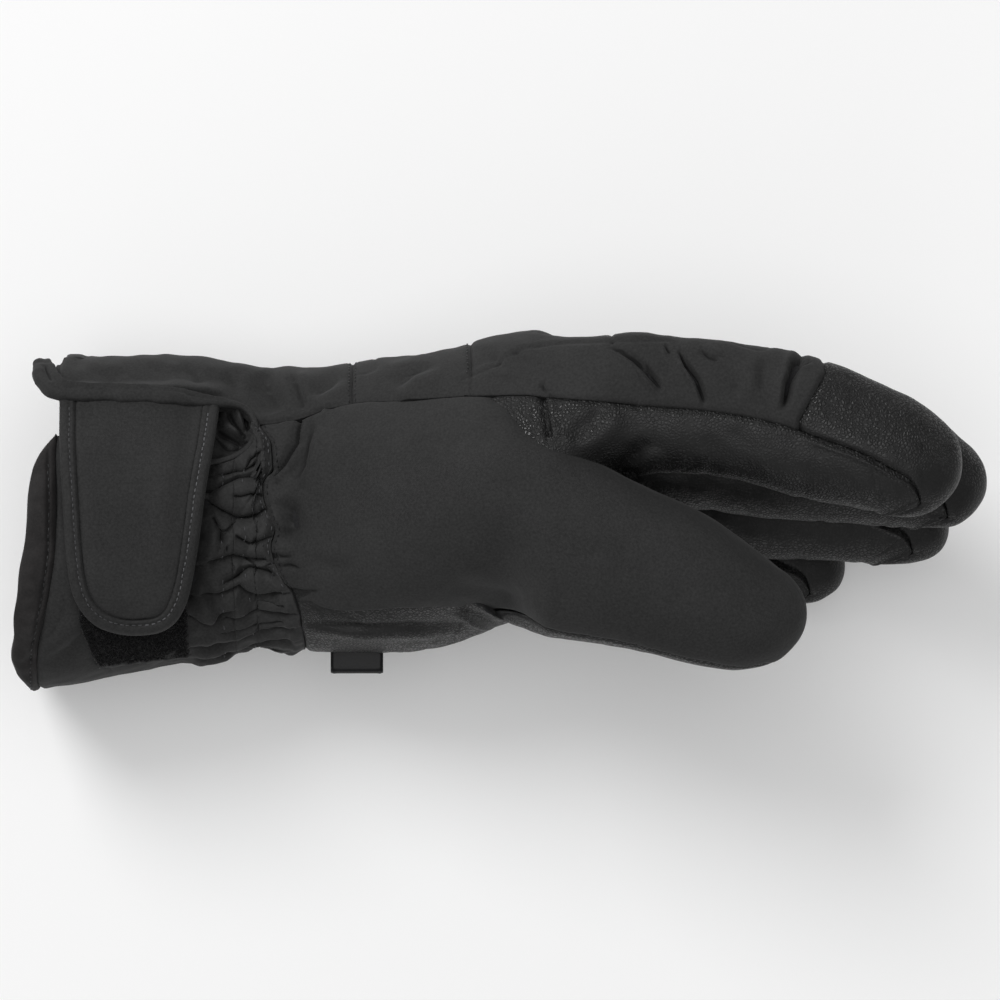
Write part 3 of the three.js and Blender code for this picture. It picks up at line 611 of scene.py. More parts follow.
def sew(name, grid, relief, slot, wall=WALL, slide=0.0, join_from=None, tip=False):
    """A wall of cloth or leather from a plain grid: its face moved by relief along the normals and by slide
    along the surface, and its inner side wall below the plain grid. Gives the face and the normals."""
    normal = normals(grid)
    if tip:
        normal[-1] = unit(normal[-2].mean(0))
        relief[-1] = relief[-2].mean()
    outer = grid + normal * relief[..., None] + slide
    outer[..., 2] = np.maximum(outer[..., 2], ON_FLOOR)
    inner = grid - normal * np.broadcast_to(wall, grid.shape[:2])[..., None]
    inner[..., 2] = np.maximum(inner[..., 2], INNER_ON_FLOOR)
    add_shell(name, outer, inner, slot, LINING, join_from=join_from, tip=tip)
    return outer, normal


def tube_faces(rings):
    """Quads round a closed tube of rings and the two faces that end it, all facing outwards."""
    index = np.arange(rings[..., 0].size).reshape(rings.shape[:2])
    around = np.roll(index, -1, 1)
    quads = np.stack([index[:-1], around[:-1], around[1:], index[1:]], -1).reshape(-1, 4)
    ends = np.array([index[0][::-1], index[-1]])
    points = rings.reshape(-1, 3)
    if volume(points - points.mean(0), quads) < 0:
        return quads[:, ::-1], ends[:, ::-1]
    return quads, ends


def many_tubes(name, tubes, uv=None):
    """One mesh from many small closed tubes with equal counts of rings and points."""
    step = (np.arange(len(tubes)) * tubes[0, ..., 0].size)[:, None, None]
    faces = [(part + step).reshape(-1, part.shape[1]) for part in tube_faces(tubes[0])]
    return build_mesh(name, tubes.reshape(-1, 3), faces, uv)


# Stitches
STITCH_LENGTH = 1.25
THREAD_RADIUS = 0.2
NEAR_FLOOR = 1.2  # mm above the floor below which no stitch is made
STITCHES = {}  # thread name: lists of centres, directions and ups


def stitch(thread, path, ups, step=2.4, share=1.0):
    """Notes a row of stitches along a path on a surface, for one mesh made at the end. Only a share of them
    shows where the cloth is gathered over the thread, and none where the glove lies on the floor."""
    run = run_along(path)
    count = max(int(run[-1] / step), 1)
    at = (np.arange(count) + 0.5) * run[-1] / count
    direction = unit(read_path(at + 0.3, run, path) - read_path(at - 0.3, run, path))
    up = unit(read_path(at, run, ups))
    rng = np.random.default_rng(count)
    centre = read_path(at, run, path) + rng.normal(0, 0.06, (count, 3))
    shown = (rng.uniform(size=count) < share) & (centre[:, 2] > NEAR_FLOOR)
    STITCHES.setdefault(thread, []).append((centre[shown], direction[shown], up[shown]))


def make_stitches():
    """One low-poly rounded thread end to end per noted stitch, six-sided and half sunk in the cloth."""
    ring = np.radians(np.arange(6) * 60)
    run = np.array([-0.5, -0.34, 0.34, 0.5]) * STITCH_LENGTH
    size = np.array([0.3, 1.0, 1.0, 0.3])[:, None] * THREAD_RADIUS
    lift = np.array([-0.6, 0.15, 0.15, -0.6])[:, None] * THREAD_RADIUS
    for thread, rows in STITCHES.items():
        centres, ahead, up = (np.concatenate([row[k] for row in rows])[:, None, None] for k in range(3))
        side = unit(np.cross(ahead, up))
        up = np.cross(side, ahead)
        tubes = (
            centres + ahead * run[None, :, None, None]
            + up * (lift + size * np.sin(ring))[None, :, :, None]
            + side * (size * np.cos(ring))[None, :, :, None]
        )
        obj = many_tubes(f"stitches_{thread}", tubes)
        obj.data.uv_layers.new(name="cloth")
        finish(obj, "softshell_cloth", THREADS[thread])


# Materials
def linear(code):
    """An sRGB hex colour as linear red, green, blue and alpha."""
    rgb = np.array([int(code[i : i + 2], 16) for i in (1, 3, 5)]) / 255
    return (*np.where(rgb <= 0.04045, rgb / 12.92, ((rgb + 0.055) / 1.055) ** 2.4), 1.0)


def node(tree, kind, inputs=None, **settings):
    """Adds a shader node with its settings. Each named or numbered input is linked from a socket or set."""
    fresh = tree.nodes.new("ShaderNode" + kind)
    for key, value in settings.items():
        if key in fresh.inputs:
            fresh.inputs[key].default_value = value
        else:
            setattr(fresh, key, value)
    for key, value in (inputs or {}).items():
        if isinstance(value, bpy.types.NodeSocket):
            tree.links.new(value, fresh.inputs[key])
        else:
            fresh.inputs[key].default_value = value
    return fresh


def per(size_mm):
    """How often a pattern of this size repeats in a metre, which is a texture's scale."""
    return 1 / (size_mm * MM)


def noise(tree, place, size_mm, **settings):
    """A cloudy texture of a place, by the size of its clouds."""
    return node(tree, "TexNoise", {"Vector": place}, Scale=per(size_mm), **settings)


def calculate(tree, operation, *values):
    """The result of an operation on one or two values."""
    return node(tree, "Math", dict(enumerate(values)), operation=operation).outputs[0]


def eased_share(tree, value, low, high, least=0.0):
    """An S-shaped rise from least, where the value is low, to 1, where it is high."""
    limits = {0: value, "From Min": low, "From Max": high, "To Min": least}
    return node(tree, "MapRange", limits, interpolation_type="SMOOTHSTEP").outputs[0]


def ramp(tree, source, stops):
    """A colour ramp over a value, from two pairs of a position and a hex colour."""
    fresh = node(tree, "ValToRGB", {"Fac": source})
    for element, (position, code) in zip(fresh.color_ramp.elements, stops):
        element.position, element.color = position, linear(code)
    return fresh.outputs["Color"]


def material(name, **shader):
    """A material with one plain shader, whose sockets are named with _ for a space."""
    made = bpy.data.materials.new(name)
    made.use_nodes = True
    tree = made.node_tree
    tree.nodes.clear()
    bsdf = node(tree, "BsdfPrincipled")
    for key, value in shader.items():
        bsdf.inputs[key.replace("_", " ")].default_value = value
    node(tree, "OutputMaterial", {0: bsdf.outputs[0]})
    return made, tree, bsdf


def painted_shade_in_hollows(tree, colour, shade, deep, flat):
    """The colour, turned towards a darker one where the mesh is hollow: painted shade in creases and
    turned-in seams. Pointiness is 0.5 on the flat and less in a crease, and it falls less on a finer mesh,
    so each cloth names its own range."""
    open_face = eased_share(tree, node(tree, "NewGeometry").outputs["Pointiness"], deep, flat)
    mixed = node(tree, "Mix", {0: open_face, 6: linear(shade), 7: colour}, data_type="RGBA")
    return mixed.outputs[2]


# hollows is the range of pointiness over which the painted shade in creases sets in
def woven(
    name, dark, light, thread_mm, rough=0.82, sheen=0.12, weave=0.12, shine=0.25, hollows=(0.435, 0.493)
):
    """Plain-woven cloth: fine threads along the piece's own UV, slight mottling, soft sheen, and painted
    shade where the mesh is hollow.
    """
    made, tree, bsdf = material(
        name, Roughness=rough, IOR=1.45, Specular_IOR_Level=shine,
        Sheen_Weight=sheen, Sheen_Roughness=0.45, Sheen_Tint=linear("#8f8f8f"),
    )
    uv = node(tree, "UVMap", uv_map="cloth").outputs[0]
    place = node(tree, "TexCoord").outputs["Object"]
    # Wave nodes repeat about every 1 / (scale * 20 / 2 pi) units, so the scale is turned into threads
    bands = {"Vector": uv, "Scale": per(thread_mm) * 2 * math.pi / 20, "Distortion": 0.6}
    warp = node(tree, "TexWave", bands, bands_direction="X").outputs["Fac"]
    weft = node(tree, "TexWave", bands, bands_direction="Y").outputs["Fac"]
    slub = noise(tree, place, 0.5, Detail=2.0, Roughness=0.6).outputs["Fac"]
    height = calculate(tree, "ADD", calculate(tree, "MULTIPLY", warp, weft), slub)
    bump = node(tree, "Bump", {"Height": height}, Strength=weave, Distance=0.1 * MM)
    tree.links.new(bump.outputs[0], bsdf.inputs["Normal"])
    broad = noise(tree, place, 24, Detail=4.0, Roughness=0.62).outputs["Fac"]
    speck = noise(tree, place, 0.7, Detail=1.0).outputs["Fac"]
    mottle = node(tree, "Mix", {0: 0.65, 2: broad, 3: speck})
    colour = ramp(tree, mottle.outputs[0], [(0.3, dark), (0.7, light)])
    # painted shade: the colour darkens in the mesh's creases and seams
    tree.links.new(painted_shade_in_hollows(tree, colour, "#0b0b0b", *hollows), bsdf.inputs["Base Color"])
    return made


def grained(name, dark, light, rough, shine, grain_mm, bump_mm):
    """Pebbled goatskin: the cells of a Voronoi pattern, a little pulled about, rise to rounded tops between
    narrow hollows. The hollows are dark and dry and the tops glossy, so it sparkles where light grazes it.
    Where a face turns up and a little towards the palm, by its normal, the grain's bump, gloss and tone are
    evened out: painted lighting, as the key light grazes the grain only on the other faces."""
    made, tree, bsdf = material(name, IOR=1.5, Specular_IOR_Level=shine)
    coordinates = node(tree, "TexCoord")
    place = coordinates.outputs["Object"]
    bend = noise(tree, place, 3.0, Detail=2.0).outputs["Color"]
    push = node(tree, "VectorMath", {0: bend}, operation="SCALE", Scale=1.4 * MM).outputs[0]
    moved = node(tree, "VectorMath", {0: place, 1: push}, operation="ADD").outputs[0]
    cells = node(
        tree, "TexVoronoi", {"Vector": moved}, feature="DISTANCE_TO_EDGE", Scale=per(grain_mm),
        Randomness=0.9,
    )
    tops = eased_share(tree, cells.outputs["Distance"], 0.02, 0.3)
    pores = noise(tree, place, 0.35, Detail=1.0).outputs["Fac"]
    height = calculate(tree, "ADD", tops, calculate(tree, "MULTIPLY", pores, 0.35))
    # painted lighting: how much grain, gloss and tone contrast shows follows the way the face turns
    facing = node(tree, "SeparateXYZ", {0: coordinates.outputs["Normal"]}).outputs[1]
    away = calculate(tree, "ABSOLUTE", calculate(tree, "ADD", facing, 0.25))
    grain_by_facing = eased_share(tree, away, 0.05, 0.55, least=0.3)
    bump = node(tree, "Bump", {"Height": height, "Strength": grain_by_facing}, Distance=bump_mm * MM)
    tree.links.new(bump.outputs[0], bsdf.inputs["Normal"])
    eased = node(tree, "Mix", {0: grain_by_facing, 2: 0.5, 3: tops}).outputs[0]
    dry = node(tree, "MapRange", {0: eased, "To Min": rough + 0.34, "To Max": rough})
    tree.links.new(dry.outputs[0], bsdf.inputs["Roughness"])
    broad = noise(tree, place, 18, Detail=3.0).outputs["Fac"]
    tone = node(tree, "Mix", {0: 0.75, 2: broad, 3: eased}).outputs[0]
    colour = ramp(tree, tone, [(0.2, dark), (0.85, light)])
    # painted shade: the colour darkens in the mesh's creases and seams
    tree.links.new(painted_shade_in_hollows(tree, colour, "#030303", 0.43, 0.49), bsdf.inputs["Base Color"])
    return made


# Polyester softshell: a matt, nearly black face whose weave shows only close by, grey where light grazes it
SOFTSHELL = woven("softshell_plain_weave_polyester", "#222222", "#303030", 0.62)
# Brushed polyester round the cuff's end: as matt, a little coarser and a trace warmer
HEM = woven("hem_brushed_polyester", "#1e1d1d", "#282626", 0.7, rough=0.8, sheen=0.15)
# Thin nylon taffeta: smoother and shinier than softshell, so that each gathered fold has its own light edge
SHIRRED = woven(
    "shirred_nylon_taffeta", "#212121", "#2e2e2e", 0.55, rough=0.74, shine=0.3, hollows=(0.466, 0.498)
)
# Goatskin pebbled in tanning: black, with glossy grain tops about 1 mm apart
LEATHER = grained(
    "pebbled_goatskin_leather", "#050505", "#171717", rough=0.31, shine=0.39, grain_mm=1.02, bump_mm=0.18
)
# Knitted loop pile of the fastening: deep black, as its loops swallow the light
PILE = woven("knitted_nylon_loop_pile", "#0c0c0d", "#151516", 0.8, rough=0.9, sheen=0.3)
# Satin-woven webbing: the glossiest cloth here, with its ribs felt more than seen
WEBBING = woven("satin_polyester_webbing", "#0b0b0c", "#151517", 1.0, rough=0.3, sheen=0.0, weave=0.25)
# Brushed tricot on the inside: soft, dull and raised
LINING = woven("brushed_tricot_lining", "#1a1a1b", "#242425", 0.9, rough=0.95, sheen=0.4, weave=0.3)
# Bonded polyester thread: a smooth twist with a slight gloss, in four greys; round the tongue one row of it
# is painted darker on the left and lighter on the right, as painted shade and light
THREADS = {
    name: woven(f"bonded_polyester_thread_{name}", dark, light, 0.3, rough=0.5)
    for name, dark, light in (
        ("light", "#49494b", "#616163"), ("grey", "#343435", "#4c4c4e"), ("dim", "#262627", "#3a3a3b"),
        ("dark", "#131313", "#262627"),
    )
}
CLOTHS = {
    "softshell_cloth": SOFTSHELL, "hem_cloth": HEM, "stretch_cloth": SHIRRED, "palm_leather": LEATHER,
    "loop_pile": PILE, "satin_webbing": WEBBING,
}

# Folds noted on the thumb side: path of x and y, width, depth, lift, side of the ridge, even
CUFF_FOLDS = [
    ([(-69.0, 41.0), (-67.0, 37.0), (-64.2, 28.6)], 2.6, 3.0, 1.2),
    ([(-60.5, 39), (-58.5, 35.5), (-57, 29.5)], 1.3, 1.6, 0.8),
    ([(-18.6, 43.4), (-25.4, 40.4), (-31.5, 35.6)], 1.8, 2.0, 1.3),
    ([(-46, 40.5), (-49.5, 37), (-55.5, 33.4)], 1.6, 1.7, 1.2),
    ([(-118.5, 43), (-114.5, 40.5), (-110, 38.4)], 1.5, 1.2, 0.9),
    ([(-101.5, 43), (-98.5, 40.5), (-94.5, 38.2)], 1.5, 1.1, 0.9),
    ([(-92.5, 43), (-88.5, 40), (-85.5, 37.0)], 1.5, 1.2, 0.9),
    ([(-80.5, 40.5), (-77.5, 38.0), (-75.0, 33.5)], 1.6, 1.2, 0.9),
]
ROOT_FOLD = ([(30.5, 47.5), (34.5, 46.0), (38.5, 43.4), (41.8, 40.2), (46.4, 34.4)], 0.65, 2.0, 0.6, -1)
WELT_LINE = [
    (-11.2, 38.3), (-7.4, 39.7), (0.1, 42.9), (4.5, 45.8), (12.3, 47.8), (21, 48.4), (32.3, 48.7),
    (48.3, 49),
]
KNUCKLE_FOLDS = [
    (WELT_LINE, 0.42, 0.38, 0.16, 1, True),
    ([(32.3, 53.5), (32.3, 48.7)], 0.5, 0.6, 0.0, 1, True),
    ([(12.0, 37.4), (12.3, 36.0), (14.2, 32.6)], 0.6, 1.2, 0.5),
    ROOT_FOLD,
    ([(-5, 46.5), (-1, 43.8), (2, 40)], 1.2, 0.9, 0.5),
    ([(2, 47.0), (7, 44), (10, 41)], 1.1, 0.6, 0.4),
    ([(-3, 40), (1.5, 37.5), (6, 36.8)], 1.3, 0.6, 0.4),
]
INDEX_FOLDS = [
    ROOT_FOLD,
    ([(47.1, 48.0), (48.9, 45)], 0.5, 0.9, 0.3, -1),
    ([(51.2, 46.6), (53.4, 41.8), (56.4, 37.2), (58.6, 30.2)], 0.55, 3.4, 0.9, -1),
    ([(57.5, 47.0), (60, 44.6), (63, 43.0)], 0.7, 1.2, 0.6),
    ([(87.6, 46.2), (84.6, 42.4), (82.4, 36.8), (81.1, 28.8)], 0.8, 4.2, 1.2, -1),
    ([(86.4, 45.4), (84.4, 42.4), (83.2, 39.0)], 0.9, 2.4),
    ([(89.4, 43.6), (86.2, 42.2), (84.2, 40.6)], 0.5, 1.8, 0.4),
    ([(77, 43.5), (75, 40), (75.5, 34)], 1.4, 0.9, 0.5, -1),
    ([(66, 41), (68, 37), (67, 31)], 1.4, 0.7, 0.5),
]
THUMB_FOLDS = [
    ([(-64.2, 3.4), (-61.4, 0.2), (-60.6, -4.6), (-62.8, -9.6)], 1.7, 3.4, 0.9, -1),
    ([(-53.6, 26), (-56.2, 20), (-57.4, 14), (-60.2, 8)], 1.6, 2.3, 1.2),
    ([(-52.3, 29.3), (-57.9, 27), (-59.3, 20.3), (-62.5, 14.2), (-65.4, 10.7)], 0.7, 2.2, 0.8, 1, True),
    ([(-56, -13), (-50, -16), (-42, -17)], 2.0, 0.9, 0.6),
    ([(-14, -21), (-2, -24), (10, -26)], 2.4, 0.8, 0.5),
]
PALM_FOLDS = [
    ([(-57, -32), (-39.3, -34.2), (-19.3, -33.6), (-8, -32.8)], 0.8, 1.5, 1.0, -1),
    ([(-13, -27.6), (-6, -31), (1.6, -34.6)], 0.7, 1.2, 1.3, -1),
    ([(12.3, 34), (13.0, 29), (14.3, 22)], 0.6, 1.7, 0.3, 1, True),
    ([(43, 20), (38, 14), (29, 9)], 1.8, 1.6, 0.9),
    ([(30, 31), (27, 25), (20, 20)], 2.0, 1.0, 0.7),
]
CUFF_PALM_FOLDS = [
    ([(-126.5, 12), (-124.8, 2), (-124.4, -8)], 1.3, 1.2, 0.7),
    ([(-131, -44), (-124, -40), (-117, -33)], 1.7, 1.3, 0.9),
    ([(-102, -46), (-93, -43.5), (-86, -40)], 1.3, 1.6, 1.0),
]
PADDING = 3  # seed of the swells, one for all neighbours, so that they meet at the same height
THUMB_PADDING = 5  # the same for the thumb
CUFF_PADDING = 7  # the same for the cuff's palm half and the wrist
ROOT_LAP = 1.6  # mm that the hand's shells reach past the fingers' roots, under the fingers' shells
CELL = 0.95  # mm between the rows of the back's grids and the thumb leather's
FINE = 0.72  # the same for the fingers
INDEX_CELL = 0.42  # the same for the index finger's back, which has the sharpest folds


# Cuff, back and knuckles
def back_folds(grid):
    """The dents of the cuff's back and of the hand's, which fade before the silhouette."""
    y, z = grid[..., 1], grid[..., 2]
    return folds(grid, CUFF_FOLDS) * smooth(20, 34, z) * (1 - 0.75 * smooth(40.5, 43.5, y))


def knuckle_folds(grid):
    """The fine welt along the knuckles' thumb side, and the folds beside it."""
    return folds(grid, KNUCKLE_FOLDS) * smooth(52, 66, grid[..., 2])


def long_seam_depth(grid):
    """The seam between the back's cloth and the thumb's: crisp at the wrist, fine along the hand, and
    crisp again where leather follows."""
    return 0.8 - 0.5 * smooth(-52, -40, grid[..., 0]) + 0.35 * smooth(6, 13, grid[..., 0])


def tucked(grid):
    """The end of the hand's shells, which dips under the fingers' shells."""
    return -1.5 * smooth(ROOT_X + 0.5, ROOT_X + ROOT_LAP, grid[..., 0])


def cuff_back_relief(grid, edge, slit):
    """The cuff's back half: a rounded end with a topstitched border, the turned-in corner lower and past a
    groove, and the cloth that swells up to the roll over the tongue's end, with a crisp line beside it.
    edge and slit are the distances from the end and from the slit."""
    x = grid[..., 0]
    end = 0.5 * hump(edge - 3, 3) - 0.35 * hump(edge - 6.5, 0.8) - rounded(edge, 1.6)
    corner = -1.5 * (1 - smooth(-127.9, -126.6, x)) - 0.8 * hump(x + 127.6, 0.6)
    swell = 2.5 * (1 - smooth(-87, -74, x)) * (1 - smooth(4.0, 10.5, slit))
    beside_roll = -1.9 * hump(slit - 3.1, 0.75) * (1 - smooth(-87, -78, x))
    return end + corner + swell + beside_roll


def make_back():
    """cuff_back, back_panel and knuckle_panel: one run of cloth from side seam to side seam."""
    back_seam, knuckle_seam = constant(BACK_SEAM_X), constant(KNUCKLE_SEAM_X)
    shown = slice(60, -1)  # the columns round the thumb side, where the stitches are
    for name, x_from, x_to in (
        ("cuff_back", cuff_end, back_seam),
        ("back_panel", back_seam, knuckle_seam),
        ("knuckle_panel", knuckle_seam, constant(ROOT_X + ROOT_LAP)),
    ):
        rows = odd_count(x_from(TOP_ANGLE), x_to(TOP_ANGLE), CELL)
        grid, _ = hand_grid(x_from, x_to, constant(BACK_START), upper_angle, rows, columns=241)
        x, y, z = np.moveaxis(grid, -1, 0)
        relief = soft(grid, PADDING) + back_folds(grid) + knuckle_folds(grid)
        # on the thumb side the knuckle seam stops short of the long seam
        knuckle_depth = 0.8 * np.where(z > 45, smooth(38.6, 40.2, y), 1.0)
        depths = [0.8, 0.8, 0.7, long_seam_depth(grid)]
        if name == "cuff_back":
            depths[0], depths[3] = 0, depths[3] * smooth(-76, -71, x)
            edge, _, _, slit = from_edges(grid)
            relief += cuff_back_relief(grid, edge, slit)
        elif name == "back_panel":
            depths[1] = knuckle_depth
        else:
            depths[0], depths[1] = knuckle_depth, 0
            relief += tucked(grid)
        outer, up = sew(name, grid, relief + seams(grid, depths), "softshell_cloth")
        if name == "cuff_back":
            stitch("dark", outer[-2, shown], up[-2, shown], step=2.0)
        elif name == "back_panel":
            stitch("dark", outer[1, shown], up[1, shown], step=2.0)
            above_seam = outer[-2, :, 1] > 39
            stitch("dark", outer[-2][above_seam], up[-2][above_seam], step=2.0)


# Palm
def palm_folds(grid):
    """The palm leather's noted folds, on the side that the thumb is on."""
    return folds(grid, PALM_FOLDS) * smooth(34, 46, grid[..., 2])


def make_palm():
    """palm_panel: leather from the wrist seam to the finger roots, creased finely on the palm."""
    end = constant(ROOT_X + ROOT_LAP)
    grid, _ = hand_grid(wrist_seam, end, palm_angle, ulnar_angle, rows=161, columns=211)
    facing = smooth(0.0, 0.7, -normals(grid)[..., 1])
    relief = soft(grid, PADDING) + palm_folds(grid) + seams(grid, [0.8, 0, long_seam_depth(grid), 0.7])
    relief += tucked(grid) - 0.9 * facing * creases(grid, 30, 83, 0.12)
    sew("palm_panel", grid, relief, "palm_leather")


# Fingers
BENDS = (0.2, 0.5, 0.72)  # shares of a finger's length at which it folds when it bends


def root_sink(grid):
    """Before the root a finger's wall sinks below the hand's. Where they overlap it lies just above."""
    return 0.04 - 1.64 * (1 - smooth(ROOT_X - 3.6, ROOT_X - 0.9, grid[..., 0]))


def make_finger(name, cap, front, round_from, seed, rows):
    """A finger's cloth back, its leather front with an oval end, and the leather cap over its tip."""
    tip = rows[-1][0]
    cap_y = float(section(rows, cap, TOP_ANGLE, round_from)[1]) + 8.5  # where the slanting seam stays

    def seam(x):
        """The angles of the front panel's upper and lower seam at x."""
        return columns_at(FRONT_SEAM, (x - cap) / (front - cap))

    def finger_grid(x, low, high, columns):
        """Rows at the given x, the angle between two curves of x. The seam at the cap slants: points near
        it shift lengthwise by a share of their height."""
        x = np.broadcast_to(x[:, None], (len(x), columns))
        deg = mix(low[:, None], high[:, None], np.linspace(0, 1, columns)[None])
        grid = tube(rows, round_from)(x, deg)
        grid[..., 0] += 0.55 * np.clip(grid[..., 1] - cap_y, -7, 7) * hump(x - cap, 13)
        return grid

    def bend(grid):
        """Folds across the inside of the finger, where it bends."""
        relief = 0
        for k, share in enumerate(BENDS):
            middle = mix(rows[0][0], tip, share) + 1.2 * waves(grid, 30, seed + k)
            relief = relief - 0.35 * hump(grid[..., 0] - middle, 1.6)
        return relief

    def make_finger_back():
        """The cloth on the finger's back, from the root to the cap."""
        x = spaced(ROOT_X - 4, cap, INDEX_CELL if name == "index" else FINE)
        upper, lower = seam(x)
        grid = finger_grid(x, lower - 360, upper, 111)
        relief = soft(grid, PADDING) + seams(grid, [0, 0.9, 0.75, long_seam_depth(grid)])
        relief += root_sink(grid) + knuckle_folds(grid)
        if name == "index":
            relief += folds(grid, INDEX_FOLDS) * smooth(72, 84, grid[..., 2])
        relief += 0.5 * bend(grid) * smooth(0.3, 0.9, 0.5 - normals(grid)[..., 1])
        sew(f"{name}_back", grid, relief, "softshell_cloth")

    def make_finger_front():
        """The leather on the palm side, between the two seams."""
        x = spaced(ROOT_X - 4, front, FINE, 0.75)
        grid = finger_grid(x, *seam(x), 101)
        palmward = smooth(-0.2, 0.8, -normals(grid)[..., 1])
        _, _, first, last = from_edges(grid)
        # the panel's turned-in edge is a low rib beside its seam
        rib = 0.5 * hump(np.minimum(first, last) - 1.75, 0.6) * smooth(cap - 4, cap + 3, grid[..., 0])
        relief = soft(grid, PADDING) + seams(grid, [0, 0, long_seam_depth(grid), 0.75])
        relief += root_sink(grid) + bend(grid) * palmward + rib
        relief += palm_folds(grid) - 0.8 * hump(front - x[:, None], 1.0)
        sew(f"{name}_front", grid, relief, "palm_leather")

    def make_finger_cap():
        """The cap closes all round beyond the front panel's end."""
        round_off = np.sin(np.linspace(0, 1, 33)[1:] * np.pi / 2)
        x = np.concatenate([spaced(cap, front, FINE), front + (tip - front) * round_off])
        upper, lower = seam(x)
        centre = 0.5 * (upper + lower)
        beyond = x >= front - 0.01
        grid = finger_grid(x, np.where(beyond, centre, lower) - 360, np.where(beyond, centre, upper), 151)
        relief = soft(grid, PADDING) * (1 - 0.7 * smooth(mix(front, tip, 0.6), tip, x)[:, None])
        relief += seams(grid, [0.9, 0, 0.75, 0.75]) * (1 - smooth(front - 1.0, front + 2.5, x)[:, None])
        joined = odd_count(cap, front, FINE) - 1
        sew(f"{name}_cap", grid, relief, "palm_leather", join_from=joined, tip=True)

    make_finger_back()
    make_finger_front()
    make_finger_cap()


# Thumb
def thumb_span(x):
    """The middle and half the width of the cloth round the thumb as angles at x. Over the last stretch
    before the leather's end the cloth widens until it closes all round the tip."""
    upper, lower = columns_at(THUMB_SEAM, x)
    grow = smooth(THUMB_CLOSES_FROM, THUMB_FRONT_END, x) ** 1.5
    return (upper + lower) / 2, mix((lower - upper) / 2, 180.0, grow)


def between_seams(x, share):
    """Heights y that swing from the upper to the lower seam of the thumb's cloth as half a cosine wave."""
    return mix(line(UPPER_SEAM)(x), line(LOWER_SEAM)(x), (1 - np.cos(np.pi * share)) / 2)


def thumb_skin(x, share):
    """The cloth over the thumb. Near the wrist it is the hand's surface plus a rise across the panel,
    the sine of the share to the power 1.2; past the crotch it is the thumb's own tube."""
    patch = hand_plain(x, angle_at(x, between_seams(x, share)))
    patch[..., 2] += line(THUMB_RISE)(x) * np.sin(np.pi * share) ** 1.2
    upper, lower = columns_at(THUMB_SEAM, x)
    around = thumb_tube(x, mix(upper, lower, share))
    return mix(patch, around, smooth(*THUMB_LEAVES, x)[..., None])


def thumb_folds(grid):
    """The noted folds of the thumb's cloth, and the short ones that run from the shirred wrist into it."""
    relief = folds(grid, THUMB_FOLDS)
    for k, y in enumerate((8.5, -12.5, -16.5, -22.5)):
        x = float(line(WRIST_SEAM)(y))
        end = x + 5 + 1.7 * k
        path = [(x - 1, y), (mix(x, end, 0.5), y + 0.9 * (-1) ** k), (end, y - 0.4)]
        relief += fold(grid, path, 0.7, 1.0, 0.5)
    return relief


def make_thumb_panel():
    """thumb_panel: cloth from the wrist seam over the thumb's root and its back, closed round the tip."""
    tip = THUMB[-1][0]
    along_thumb = np.concatenate([
        np.linspace(0, 0.9, 211), 0.9 + 0.1 * np.sin(np.linspace(0, 1, 45)[1:] * np.pi / 2),
    ])
    t, s = np.meshgrid(along_thumb, np.linspace(0, 1, 133), indexing="ij")
    start = np.full(t.shape, -60.0)
    for _ in range(4):
        start = line(WRIST_SEAM)(between_seams(start, s))
    x = start + (tip - start) * t
    middle, half = thumb_span(x)
    grid = thumb_skin(x, s)
    far = x > THUMB_CLOSES_FROM
    grid[far] = thumb_tube(x[far], (middle + half * (2 * s - 1))[far])
    relief = (0.75 * soft(grid, THUMB_PADDING) + thumb_folds(grid)) * (1 - 0.7 * smooth(80, tip, x))
    ends = 1 - smooth(THUMB_FRONT_END - 2, THUMB_FRONT_END + 1, grid[..., 0])
    relief += seams(grid, [0.9, 0, long_seam_depth(grid), 0.6]) * ends
    joined = int(np.argmax(x[:, 0] > THUMB_FRONT_END))
    joined += joined % 2
    outer, up = sew("thumb_panel", grid, relief, "softshell_cloth", join_from=joined, tip=True)
    stitch("dark", outer[2, 4:-4], up[2, 4:-4], step=1.9)


def make_thumb_leather():
    """Leather on the side that faces the palm. At the root it lies flat under the cloth, and it swells to
    the thumb's own tube by the same share as the cloth does, so that their edges stay together."""
    rows = spaced(THUMB_LEAVES[0], THUMB_FRONT_END, CELL, 0.6)
    x, u = np.meshgrid(rows, np.linspace(0, 1, 121), indexing="ij")
    middle, half = thumb_span(x)
    round_side = thumb_tube(x, mix(middle + half, middle - half + 360, u))
    flat = hand_plain(x, angle_at(x, between_seams(x, 1 - u)))
    flat[..., 2] -= 5.0 * smooth(0.12, 0.45, u) * (1 - smooth(0.75, 0.95, u)) + 0.4
    inside = smooth(0, 0.34, u) * (1 - smooth(0.66, 1, u))
    grown = mix(smooth(*THUMB_LEAVES, x), smooth(-13, 3, x), inside)
    grid = mix(flat, round_side, grown[..., None])
    relief = 0.6 * soft(grid, THUMB_PADDING) + seams(grid, [0, 0, 0.6, long_seam_depth(grid)])
    facing = smooth(0.1, 0.4, u) * (1 - smooth(0.6, 0.9, u))
    for k, bend_x in enumerate((26, 48, 66)):
        relief -= 0.5 * hump(grid[..., 0] - bend_x - 1.5 * waves(grid, 24, 70 + k), 1.6) * facing
    sew("thumb_leather", grid, relief, "palm_leather", wall=mix(0.25, 2.4, smooth(2, 18, x)))


